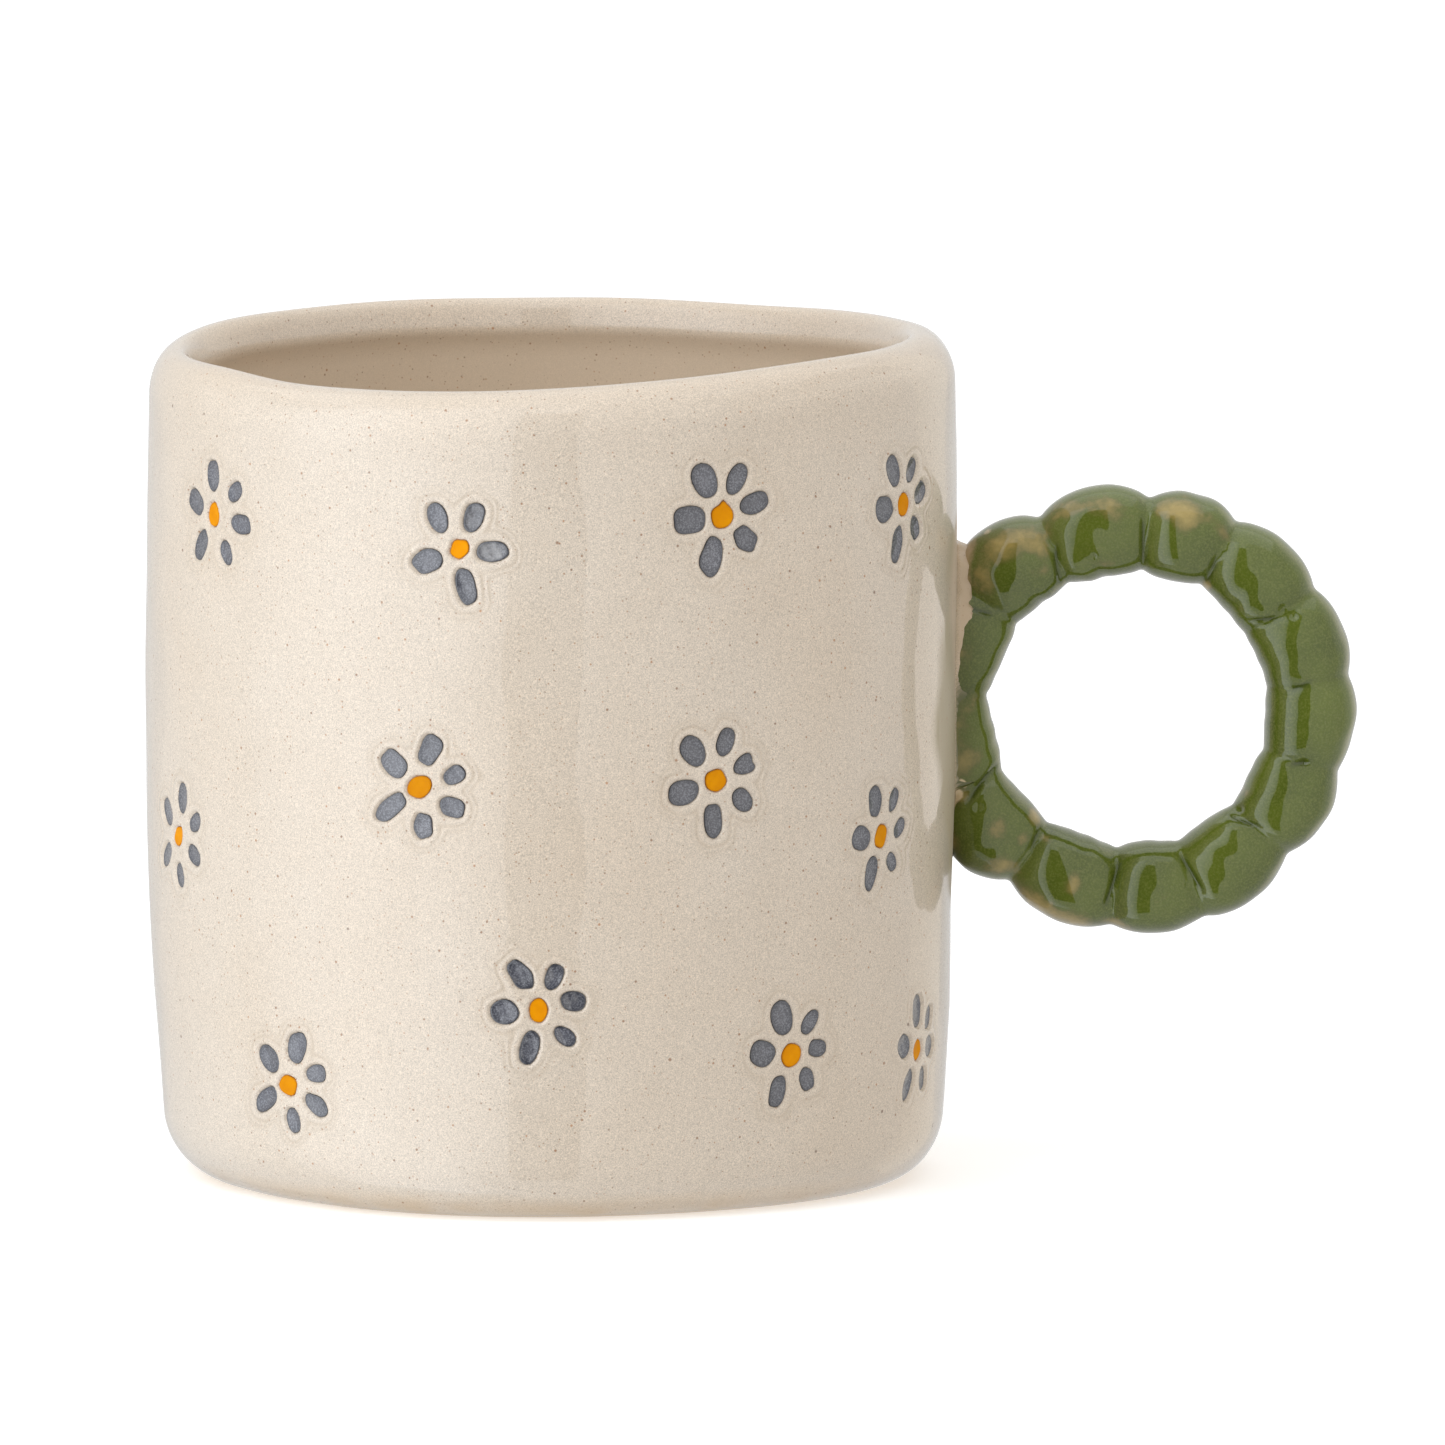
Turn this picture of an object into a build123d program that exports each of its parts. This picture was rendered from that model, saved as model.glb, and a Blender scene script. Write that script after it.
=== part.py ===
from build123d import *
import os
from math import cos, pi, radians, sin

# Stoneware mug, millimetres. +Z is up, +X runs from the mug's axis through the
# ring handle, and the origin is the middle of the foot, on the table plane.

# ---- cup, overall
height = 88.0               # mean height of the rim
plan_mean = 42.4            # mean outside radius of the wall
# softly faceted plan: cosine and sine amplitudes of the 1st to 5th harmonic
plan_waves = [(0.16, -0.50), (0.05, -0.23), (0.04, -0.45), (0.13, -0.17), (-0.19, -0.14)]
# outside profile: height, and how far the wall stands from the mean radius there
profile = [(0.0, -2.05), (9.0, -1.42), (20.0, -0.70), (33.0, -0.10), (47.0, 0.12), (62.0, -0.03), (77.0, -0.30), (95.0, -0.42)]
wall = 5.2                  # wall thickness
floor = 6.0                 # floor thickness
base_corner = 6.4           # outside rounding under the wall
floor_corner = 7.0          # inside rounding at the floor
lip_outer = 3.7             # rounding of the rim's outer edge
lip_inner = 1.15            # rounding of the rim's inner edge
# hand-trimmed rim: height above the mean at radius 40, harmonics 1 and 2
rim_waves = [(0.90, 0.84), (0.40, -0.61)]

# ---- ring handle: centre, then each pinch between beads and each bead crest
ring_x = 60.5
ring_z = 48.7
pinches = [  # angle about the ring's centre, outer radius, inner radius
    (9.0, 23.63, 14.90), (33.0, 23.53, 14.80), (60.0, 23.11, 15.10), (84.0, 22.53, 14.79),
    (114.5, 22.53, 14.74), (142.0, 22.75, 14.78), (173.5, 22.70, 14.84), (206.0, 22.40, 14.47),
    (235.5, 22.15, 14.42), (266.0, 22.95, 14.47), (291.0, 23.16, 14.79), (318.0, 22.95, 14.84),
    (343.5, 23.26, 14.90),
]
crests = [
    (24.48, 14.68), (24.42, 14.68), (24.11, 14.42), (23.84, 14.05), (24.26, 14.20), (24.10, 14.05),
    (24.10, 14.05), (24.00, 14.10), (23.58, 13.95), (23.84, 14.26), (24.16, 14.63), (23.95, 14.58),
    (24.32, 14.58),
]
slip_gap = 0.35             # luting slip left between the ring and the wall
slip_height = (31.0, 34.5)  # slip pad: height at the ring side, at the wall side
slip_width = (8.6, 10.8)

# ---- daisies, inlaid: pocket depth, and how far the inlay stays below the wall
inlay_depth = 0.75
inlay_sunk = 0.20
# each design is petals as (across, up, half length, half width, lean in degrees),
# then the centre as (half length, half width, lean)
designs = {
    "a": ([(-2.46, -3.41, 1.79, 1.05, -123), (2.20, -3.76, 1.31, 0.95, -58), (4.67, -0.60, 1.66, 1.06, -2),
           (3.69, 2.70, 1.32, 0.88, 36), (-0.24, 4.05, 1.63, 1.16, 88), (-3.68, 0.99, 1.63, 1.18, 159)], (1.20, 0.98, 90)),
    "b": ([(-3.46, -1.36, 1.62, 1.21, -156), (0.67, -3.89, 1.92, 1.03, -75), (3.48, -0.21, 1.52, 1.03, 1),
           (1.48, 3.26, 1.55, 1.02, 69), (-2.35, 3.13, 1.58, 1.01, 112)], (1.05, 0.95, 49)),
    "c": ([(-3.64, -0.24, 1.78, 1.46, -176), (-1.22, -4.14, 2.06, 1.18, -102), (2.63, -2.47, 1.42, 1.12, -47),
           (3.72, 1.17, 1.67, 1.06, 18), (1.70, 3.78, 1.71, 0.98, 61), (-1.94, 3.76, 1.86, 1.33, 114)], (1.29, 1.18, 85)),
    "d": ([(-3.38, -0.19, 1.51, 1.35, -176), (-1.26, -4.06, 1.93, 1.00, -106), (2.30, -2.65, 1.30, 1.00, -67),
           (3.56, 0.88, 1.42, 1.00, 27), (1.65, 3.44, 1.41, 0.92, 63), (-1.71, 3.63, 1.72, 1.14, 112)], (1.19, 1.03, 75)),
    "e": ([(-3.40, -2.37, 1.80, 0.97, -144), (0.30, -4.05, 1.40, 0.97, -71), (3.54, -1.62, 1.40, 0.99, -21),
           (3.80, 1.85, 1.37, 0.90, 25), (0.88, 4.12, 1.68, 1.20, 81), (-3.04, 2.25, 1.65, 1.15, 136)], (1.12, 1.00, 60)),
    "f": ([(-3.26, -2.29, 2.01, 0.98, -141), (0.38, -4.06, 1.33, 0.99, -87), (3.53, -2.00, 1.36, 1.02, -19),
           (3.76, 1.33, 1.20, 0.90, 33), (1.16, 3.88, 1.65, 1.13, 65), (-2.83, 2.27, 1.59, 1.19, 133)], (1.31, 1.15, 39)),
    "g": ([(-3.54, -1.08, 1.70, 1.27, -165), (-0.26, -4.22, 1.77, 0.99, -88), (3.06, -2.19, 1.31, 1.00, -55),
           (3.25, 1.43, 1.23, 0.95, 24), (1.13, 3.95, 1.48, 0.92, 72), (-2.49, 3.15, 1.69, 1.23, 124)], (1.15, 1.10, 29)),
    "h": ([(-1.46, -3.76, 1.81, 0.92, -104), (1.92, -2.90, 1.05, 0.82, -53), (3.29, 0.56, 1.20, 0.80, 36),
           (2.20, 3.59, 1.30, 0.80, 62), (-0.92, 3.69, 1.62, 1.08, 92), (-3.04, 0.07, 1.40, 1.25, 153)], (1.23, 0.92, 71)),
    "i": ([(-3.47, -1.85, 1.84, 1.02, -145), (0.52, -3.67, 1.38, 0.91, -77), (3.68, -1.74, 1.52, 0.97, -29),
           (3.81, 1.56, 1.29, 0.92, 10), (1.36, 4.09, 1.70, 1.15, 76), (-2.76, 2.56, 1.64, 1.15, 146)], (1.16, 1.02, 15)),
    "j": ([(-3.51, -0.21, 1.49, 1.25, 176), (-0.94, -3.93, 1.80, 0.98, -104), (2.76, -2.74, 1.25, 0.86, -37),
           (3.63, 0.95, 1.33, 1.02, -4), (1.62, 3.50, 1.40, 0.88, 67), (-1.84, 3.73, 1.71, 1.04, 128)], (1.24, 0.92, 88)),
    "k": ([(-1.53, -3.72, 1.69, 0.95, -104), (2.12, -2.70, 1.24, 0.90, -70), (3.32, 0.47, 1.14, 0.95, -6),
           (2.20, 3.31, 1.38, 0.84, 55), (-1.30, 4.03, 1.87, 1.25, 107), (-3.49, 0.42, 1.49, 1.36, 168)], (1.19, 1.12, 73)),
    "l": ([(-1.63, -3.54, 1.70, 0.90, -112), (1.83, -3.24, 1.24, 0.85, -78), (3.24, 0.02, 1.24, 1.05, -24),
           (2.37, 3.12, 1.30, 0.82, 75), (-0.56, 4.16, 1.75, 1.05, 99), (-2.91, 0.74, 1.35, 1.15, 142)], (1.10, 0.95, 83)),
}
# rows of daisies: azimuth about +Z from +X, height, design, and a turn of the design
rows = {
    "upper": [(214.1, 72.0, "a", 0), (257.6, 70.5, "b", 0), (295.3, 73.5, "c", 0), (328.1, 73.0, "d", 0),
              (28.0, 71.5, "k", 12), (63.0, 73.2, "f", -14), (101.0, 70.8, "j", 9), (139.0, 72.6, "g", -6), (172.0, 70.2, "i", 15)],
    "middle": [(204.0, 37.5, "e", 0), (251.9, 45.7, "f", 0), (294.1, 46.1, "g", 0), (322.5, 38.7, "h", 0),
               (36.5, 41.0, "c", -12), (76.0, 45.5, "a", 10), (119.0, 39.0, "l", -8), (161.0, 45.0, "j", 16)],
    "lower": [(228.8, 13.2, "i", 0), (268.6, 22.6, "j", 0), (307.0, 16.7, "k", 0), (333.8, 15.2, "l", 0),
              (15.0, 19.5, "b", -10), (54.0, 14.6, "e", 8), (93.0, 21.0, "h", -12), (135.0, 15.4, "d", 10), (172.5, 19.8, "c", -9)],
}

os.makedirs("parts", exist_ok=True)


def plan_radius(azimuth):
    return plan_mean + sum(c * cos((n + 1) * azimuth) + s * sin((n + 1) * azimuth) for n, (c, s) in enumerate(plan_waves))


def profile_at(z):
    # a cubic through the stations, as the lofted wall runs through them
    slopes = [(b[1] - a[1]) / (b[0] - a[0]) for a, b in zip(profile, profile[1:])]
    at = [slopes[0]] + [(a + b) / 2 for a, b in zip(slopes, slopes[1:])] + [slopes[-1]]
    for i in range(len(profile) - 1):
        (z0, p0), (z1, p1) = profile[i], profile[i + 1]
        if z <= z1:
            h, t = z1 - z0, (z - z0) / (z1 - z0)
            return (p0 * (1 + 2 * t) * (1 - t) ** 2 + h * at[i] * t * (1 - t) ** 2
                    + p1 * t * t * (3 - 2 * t) + h * at[i + 1] * t * t * (t - 1))
    return profile[-1][1]


def wall_radius(azimuth, z):
    return plan_radius(azimuth) + profile_at(z)


def rim_rise(x, y):
    # harmonics written as polynomials, so that the rise is smooth across the cup
    (c1, s1), (c2, s2) = rim_waves
    return (c1 * x + s1 * y) / 40 + (c2 * (x * x - y * y) + s2 * 2 * x * y) / 40**2


def ring_of_points(inset, offset, count=30):
    return [((plan_radius(a) + offset - inset) * cos(a), (plan_radius(a) + offset - inset) * sin(a)) for a in (2 * pi * i / count for i in range(count))]


# ---- the wall's outside as a plain solid: the cup starts from it, and the handle is fitted to it
with BuildPart() as wall_envelope:
    for z, offset in profile:
        with BuildSketch(Plane.XY.offset(z)):
            with BuildLine():
                Spline(*ring_of_points(0, offset), periodic=True)
            make_face()
    loft()

# the same, grown by the slip gap
with BuildPart() as slip_envelope:
    for z, offset in profile:
        with BuildSketch(Plane.XY.offset(z)):
            with BuildLine():
                Spline(*ring_of_points(-slip_gap, offset), periodic=True)
            make_face()
    loft()

# ---- the cup's hollow
hollow_stations = [(floor, profile_at(floor))] + [(z, p) for z, p in profile if z > floor + 5]
with BuildPart() as hollow:
    for z, offset in hollow_stations:
        with BuildSketch(Plane.XY.offset(z)):
            with BuildLine():
                Spline(*ring_of_points(wall, offset), periodic=True)
            make_face()
    loft()
    fillet(hollow.faces().sort_by(Axis.Z)[0].edges(), floor_corner)

# ---- the surface that trims the rim
grid = [-60 + 12 * i for i in range(11)]
rim_surface = Face.make_surface_from_array_of_points([[(x, y, height + rim_rise(x, y)) for y in grid] for x in grid])
with BuildPart() as rim_trim:
    extrude(rim_surface, amount=25, dir=(0, 0, 1))

# ---- cup body: wall, floor and foot in one piece of clay
with BuildPart() as cup_body:
    add(wall_envelope.part)
    fillet(cup_body.faces().sort_by(Axis.Z)[0].edges(), base_corner)
    add(hollow.part, mode=Mode.SUBTRACT)
    add(rim_trim.part, mode=Mode.SUBTRACT)
    rim_edges = cup_body.edges().filter_by(lambda e: e.bounding_box().min.Z > height - 6 and e.length > 150).sort_by(SortBy.LENGTH)
    print("rim", [round(e.length, 1) for e in rim_edges])
    fillet(rim_edges[-1], lip_outer)
    rim_edges = cup_body.edges().filter_by(lambda e: e.bounding_box().min.Z > height - 6 and e.length > 150).sort_by(SortBy.LENGTH)
    print("rim", [round(e.length, 1) for e in rim_edges])
    fillet(rim_edges[0], lip_inner)

print("cup", cup_body.part.is_valid, round(cup_body.part.volume), cup_body.part.bounding_box())


# ---- ring handle: one bead at a time, each lofted from pinch to pinch
def ring_plane(angle):
    # a plane through the ring's axis, which runs along Y; its X points away from the ring's centre
    out = Vector(cos(radians(angle)), 0, sin(radians(angle)))
    return Plane(origin=(ring_x, 0, ring_z), x_dir=out, z_dir=out.cross(Vector(0, 1, 0)))


def mix(a, b, t):
    return a + (b - a) * t


beads = []
for i, (outer, inner) in enumerate(crests):
    a0, o0, i0 = pinches[i]
    a1, o1, i1 = pinches[(i + 1) % len(pinches)]
    if a1 < a0:
        a1 += 360
    with BuildPart() as bead:
        for t in (0.0, 0.16, 0.5, 0.84, 1.0):
            swell = (4 * t * (1 - t)) ** 0.55
            ro = mix(mix(o0, o1, t), outer, swell)
            ri = mix(mix(i0, i1, t), inner, swell)
            with BuildSketch(ring_plane(mix(a0, a1, t))):
                with Locations(((ro + ri) / 2, 0)):
                    Ellipse((ro - ri) / 2, (ro - ri) / 2 * 0.99)
        loft()
    beads.append(bead.part)

with BuildPart() as handle_ring:
    add(beads)
    add(slip_envelope.part, mode=Mode.SUBTRACT)
handle_ring.part.label = "handle_ring"
print("ring", handle_ring.part.is_valid, len(handle_ring.part.solids()), round(handle_ring.part.volume), handle_ring.part.bounding_box())

# ---- luting slip that bonds the ring to the wall and squeezes out round it
with BuildPart() as handle_slip:
    for x, z_size, y_size in ((46.0, slip_height[0], slip_width[0]), (41.0, slip_height[1], slip_width[1])):
        with BuildSketch(Plane(origin=(x, 0, ring_z), x_dir=(0, 0, 1), z_dir=(-1, 0, 0))):
            SlotOverall(z_size, y_size)
    loft()
    add(wall_envelope.part, mode=Mode.SUBTRACT)
    add(handle_ring.part, mode=Mode.SUBTRACT)
handle_slip.part.label = "handle_slip"
print("slip", handle_slip.part.is_valid, len(handle_slip.part.solids()), round(handle_slip.part.volume), handle_slip.part.bounding_box())


# ---- daisies
def wall_plane(azimuth, z, depth):
    # tangent plane on the wall, X across to the right seen from outside, Y up, Z outwards
    a = azimuth
    r = wall_radius(a, z)
    step = 0.01
    along = Vector(wall_radius(a + step, z) * cos(a + step) - wall_radius(a - step, z) * cos(a - step),
                   wall_radius(a + step, z) * sin(a + step) - wall_radius(a - step, z) * sin(a - step), 0)
    rise = Vector((wall_radius(a, z + 1) - wall_radius(a, z - 1)) * cos(a), (wall_radius(a, z + 1) - wall_radius(a, z - 1)) * sin(a), 2)
    normal = along.cross(rise).normalized()
    origin = Vector(r * cos(a), r * sin(a), z) - normal * depth
    return Plane(origin=origin, x_dir=along.normalized(), z_dir=normal)


def spots(row):
    """Each inlay of a row as (kind, azimuth, z, half length, half width, lean)."""
    for azimuth, z, design, turn in rows[row]:
        petals, centre = designs[design]
        a = radians(azimuth)
        r = wall_radius(a, z)
        c, s = cos(radians(turn)), sin(radians(turn))
        for across, up, half_l, half_w, lean in petals:
            x, y = across * c - up * s, across * s + up * c
            yield "petal", a + x / r, z + y, half_l, half_w, lean + turn
        yield "centre", a, z, centre[0], centre[1], centre[2] + turn


pockets = []
for row in rows:
    for kind, label in (("petal", f"{row}_row_petals"), ("centre", f"{row}_row_centres")):
        with BuildPart() as inlay:
            for which, azimuth, z, half_l, half_w, lean in spots(row):
                if which == kind:
                    with BuildSketch(wall_plane(azimuth, z, inlay_depth).rotated((0, 0, lean))):
                        Ellipse(half_l, half_w)
            extrude(amount=inlay_depth - inlay_sunk)
        inlay.part.label = label
        print(label, len(inlay.part.solids()), round(inlay.part.volume, 1))
        export_step(inlay.part, f"parts/{label}.step")
        with BuildPart() as cutter:
            for which, azimuth, z, half_l, half_w, lean in spots(row):
                if which == kind:
                    with BuildSketch(wall_plane(azimuth, z, inlay_depth).rotated((0, 0, lean))):
                        Ellipse(half_l, half_w)
            extrude(amount=inlay_depth + 0.5)
        pockets.extend(cutter.part.solids())

with BuildPart() as cup_with_pockets:
    add(cup_body.part)
    add(pockets, mode=Mode.SUBTRACT)
cup_with_pockets.part.label = "cup_body"
print("cup", cup_with_pockets.part.is_valid, len(cup_with_pockets.part.solids()), round(cup_with_pockets.part.volume), cup_with_pockets.part.bounding_box())

export_step(cup_with_pockets.part, "parts/cup_body.step")
export_step(handle_ring.part, "parts/handle_ring.step")
export_step(handle_slip.part, "parts/handle_slip.step")
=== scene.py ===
import bpy
import numpy as np
from math import atan2, cos, pi, radians, sin
from mathutils import Matrix, Vector


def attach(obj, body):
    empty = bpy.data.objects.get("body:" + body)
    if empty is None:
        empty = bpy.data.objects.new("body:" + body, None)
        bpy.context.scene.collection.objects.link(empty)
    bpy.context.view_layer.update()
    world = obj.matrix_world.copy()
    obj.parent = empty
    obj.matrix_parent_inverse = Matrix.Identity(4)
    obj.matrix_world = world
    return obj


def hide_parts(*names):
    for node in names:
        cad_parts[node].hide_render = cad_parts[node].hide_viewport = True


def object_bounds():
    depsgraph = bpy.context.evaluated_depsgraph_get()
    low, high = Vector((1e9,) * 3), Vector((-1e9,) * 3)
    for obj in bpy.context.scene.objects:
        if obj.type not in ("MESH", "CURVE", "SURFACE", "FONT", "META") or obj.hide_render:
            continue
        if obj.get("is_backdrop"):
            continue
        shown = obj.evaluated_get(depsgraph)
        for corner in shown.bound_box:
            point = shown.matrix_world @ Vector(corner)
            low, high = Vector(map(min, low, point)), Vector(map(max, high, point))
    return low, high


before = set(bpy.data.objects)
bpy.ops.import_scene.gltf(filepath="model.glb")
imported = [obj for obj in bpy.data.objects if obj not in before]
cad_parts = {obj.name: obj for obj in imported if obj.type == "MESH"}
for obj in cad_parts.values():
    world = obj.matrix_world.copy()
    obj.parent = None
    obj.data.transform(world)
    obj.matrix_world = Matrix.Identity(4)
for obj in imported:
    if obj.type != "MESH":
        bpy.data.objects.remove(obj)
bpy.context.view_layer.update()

# Lengths below are millimetres in the CAD's frame, and metres only when a mesh is made.
MM = 0.001
rng = np.random.default_rng(41)

# ------------------------------------------------------------------ the wall's shape
HEIGHT = 88.0
PLAN_MEAN = 42.4
PLAN_WAVES = [(0.16, -0.50), (0.05, -0.23), (0.04, -0.45), (0.13, -0.17), (-0.19, -0.14)]
PROFILE = [(0.0, -2.05), (9.0, -1.42), (20.0, -0.70), (33.0, -0.10), (47.0, 0.12), (62.0, -0.03), (77.0, -0.30), (95.0, -0.42)]
RIM_WAVES = [(0.90, 0.84), (0.40, -0.61)]
BASE_R, BASE_H = 5.6, 6.6       # rounding over the foot, across and up
LIP_R, LIP_H = 4.0, 5.0         # outer rounding of the lip
LIP_IN_R, LIP_IN_H = 1.5, 3.2   # inner rounding of the lip
RING_X, RING_Z = 60.5, 48.7


def plan(phi):
    return PLAN_MEAN + sum(c * np.cos((n + 1) * phi) + s * np.sin((n + 1) * phi) for n, (c, s) in enumerate(PLAN_WAVES))


def prof(z):
    z = np.asarray(z, float)
    zs = np.array([p[0] for p in PROFILE]); ps = np.array([p[1] for p in PROFILE])
    sl = np.diff(ps) / np.diff(zs)
    at = np.concatenate([[sl[0]], (sl[1:] + sl[:-1]) / 2, [sl[-1]]])
    i = np.clip(np.searchsorted(zs, z) - 1, 0, len(zs) - 2)
    h = zs[i + 1] - zs[i]
    t = np.clip((z - zs[i]) / h, 0, 1)
    return (ps[i] * (1 + 2 * t) * (1 - t) ** 2 + h * at[i] * t * (1 - t) ** 2
            + ps[i + 1] * t * t * (3 - 2 * t) + h * at[i + 1] * t * t * (t - 1))


def bump_at(phi, degrees_at, width):
    return np.exp(-(np.angle(np.exp(1j * (phi - radians(degrees_at)))) / radians(width)) ** 2)


def rim(phi):
    (c1, s1), (c2, s2) = RIM_WAVES
    return (c1 * np.cos(phi) + s1 * np.sin(phi) + c2 * np.cos(2 * phi) + s2 * np.sin(2 * phi)
            + 0.07 * np.sin(5 * phi + 0.6) + 0.05 * np.sin(9 * phi + 2.1) - 0.08
            + 0.55 * bump_at(phi, 210, 13) + 0.26 * bump_at(phi, 257, 17))


def lip_r(phi):
    return LIP_R - 0.75 * bump_at(phi, 188, 38) + 0.10 * np.sin(3 * phi + 1.0)


# slow unevenness of a hand-finished wall: (waves round, waves per mm up, amplitude, phase)
SWELLS = [(int(rng.integers(3, 9)) * int(rng.choice([-1, 1])), float(rng.uniform(0.012, 0.035)), float(rng.uniform(0.012, 0.03)), float(rng.uniform(0, 2 * pi))) for _ in range(7)]
SWELLS += [(int(rng.integers(9, 22)) * int(rng.choice([-1, 1])), float(rng.uniform(0.03, 0.07)), float(rng.uniform(0.004, 0.011)), float(rng.uniform(0, 2 * pi))) for _ in range(12)]


def swell(phi, z):
    return sum(a * np.cos(m * phi + 2 * pi * k * z + p) for m, k, a, p in SWELLS)


def wall_r(phi, z):
    # the ring's fitting pressed the wall in a little behind it
    pressed = 0.50 * bump_at(phi, 0, 23) * np.interp(z, [18, 29, 50, 62, 74], [0.0, 1.0, 1.0, 0.35, 0.0])
    return plan(phi) + prof(z) + swell(phi, z) - pressed


# ------------------------------------------------------------------ the daisies
# petals: across, up, half length, half width, lean, fullness of the outer end; then the centre
DESIGNS = {
    "a": ([(-2.46, -3.41, 1.79, 1.05, -123, -.06), (2.20, -3.76, 1.31, .95, -58, .02), (4.67, -.60, 1.66, .99, -2, .04), (3.69, 2.70, 1.32, .88, 36, .04), (-.24, 4.05, 1.63, 1.2, 88, .10), (-3.68, .99, 1.70, 1.2, 159, 0)], (1.22, .98, 90)),
    "b": ([(-3.46, -1.36, 1.62, 1.21, -156, .02), (.67, -3.89, 1.92, 1.03, -75, .02), (3.48, -.21, 1.66, 1.06, 3, -.06), (1.48, 3.26, 1.55, 1.02, 69, .10), (-2.35, 3.13, 1.58, 1.01, 112, .08)], (1.01, .88, 49)),
    "c": ([(-3.64, -.24, 1.78, 1.46, -176, .04), (-1.22, -4.14, 2.06, 1.18, -102, .06), (2.63, -2.47, 1.42, 1.12, -47, .04), (3.72, 1.17, 1.67, 1.06, 18, .04), (1.70, 3.78, 1.71, .98, 61, .02), (-1.94, 3.76, 1.86, 1.33, 114, .08)], (1.24, 1.16, 85)),
    "d": ([(-3.38, -.19, 1.51, 1.35, -176, .06), (-1.26, -4.06, 1.93, .98, -106, 0), (2.30, -2.65, 1.25, 1.00, -67, .04), (3.56, .88, 1.42, 1.00, 27, .08), (1.65, 3.44, 1.35, .92, 63, .04), (-1.71, 3.63, 1.72, 1.14, 112, .10)], (1.19, 1.03, 75)),
    "e": ([(-3.40, -2.37, 1.80, .97, -144, -.12), (.30, -4.05, 1.30, .97, -71, .10), (3.54, -1.62, 1.40, .99, -21, .02), (3.80, 1.85, 1.37, .90, 25, .10), (.88, 4.12, 1.60, 1.24, 81, 0), (-3.04, 2.25, 1.62, 1.18, 136, -.06)], (1.11, .98, 37)),
    "f": ([(-3.26, -2.29, 2.01, .98, -141, -.02), (.38, -4.06, 1.33, .99, -87, .04), (3.53, -2.00, 1.36, 1.02, -19, .06), (3.76, 1.33, 1.20, .90, 33, .10), (1.16, 3.88, 1.65, 1.13, 65, .06), (-2.83, 2.27, 1.59, 1.19, 133, .02)], (1.31, 1.09, 39)),
    "g": ([(-3.54, -1.08, 1.70, 1.27, -165, .10), (-.26, -4.22, 1.77, .99, -88, -.08), (3.06, -2.19, 1.31, 1.00, -55, .02), (3.25, 1.43, 1.23, .95, 24, .26), (1.13, 3.95, 1.48, .92, 72, .08), (-2.49, 3.15, 1.69, 1.23, 124, .10)], (1.13, 1.11, 29)),
    "h": ([(-1.46, -3.76, 1.81, .92, -104, -.06), (1.92, -2.90, 1.05, .80, -53, -.06), (3.29, .56, 1.18, .80, 36, -.04), (2.20, 3.59, 1.28, .78, 62, .08), (-.92, 3.69, 1.62, 1.06, 92, .18), (-3.04, .07, 1.38, 1.27, 153, .02)], (1.23, .92, 71)),
    "i": ([(-3.47, -1.85, 1.94, 1.02, -145, -.06), (.52, -3.67, 1.30, .91, -77, .04), (3.68, -1.74, 1.52, .97, -29, .16), (3.81, 1.56, 1.29, .90, 10, .18), (1.36, 4.09, 1.70, 1.20, 76, .08), (-2.76, 2.56, 1.64, 1.18, 146, -.06)], (1.20, 1.02, 0)),
    "j": ([(-3.51, -.21, 1.49, 1.25, 176, .06), (-.94, -3.93, 1.80, .98, -104, .04), (2.76, -2.74, 1.25, .84, -37, .08), (3.63, .95, 1.33, 1.02, -4, .06), (1.62, 3.50, 1.40, .87, 67, .06), (-1.84, 3.73, 1.71, 1.04, 128, -.04)], (1.24, .90, 88)),
    "k": ([(-1.53, -3.72, 1.69, .94, -104, .02), (2.12, -2.70, 1.24, .88, -70, .02), (3.32, .47, 1.14, .90, -6, .02), (2.20, 3.31, 1.38, .82, 55, 0), (-1.30, 4.03, 1.87, 1.25, 107, .04), (-3.49, .42, 1.49, 1.36, 168, .10)], (1.19, 1.15, 73)),
    "l": ([(-1.63, -3.54, 1.70, .88, -112, -.04), (1.83, -3.24, 1.24, .84, -78, .04), (3.24, .02, 1.24, 1.05, -24, .02), (2.37, 3.12, 1.26, .80, 75, .04), (-.56, 4.16, 1.75, 1.02, 99, .06), (-2.91, .74, 1.35, 1.15, 142, -.08)], (1.04, .88, 83)),
}
ROWS = {
    "upper": [(214.1, 72.0, "a", 0), (257.6, 70.5, "b", 0), (295.3, 73.5, "c", 0), (328.1, 73.0, "d", 0),
              (28.0, 71.5, "k", 12), (63.0, 73.2, "f", -14), (101.0, 70.8, "j", 9), (139.0, 72.6, "g", -6), (172.0, 70.2, "i", 15)],
    "middle": [(204.0, 37.5, "e", 0), (251.9, 45.7, "f", 0), (294.1, 46.1, "g", 0), (322.5, 38.7, "h", 0),
               (36.5, 41.0, "c", -12), (76.0, 45.5, "a", 10), (119.0, 39.0, "l", -8), (161.0, 45.0, "j", 16)],
    "lower": [(228.8, 13.2, "i", 0), (268.6, 22.6, "j", 0), (307.0, 16.7, "k", 0), (333.8, 15.2, "l", 0),
              (15.0, 19.5, "b", -10), (54.0, 14.6, "e", 8), (93.0, 21.0, "h", -12), (135.0, 15.4, "d", 10), (172.5, 19.8, "c", -9)],
}

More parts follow.
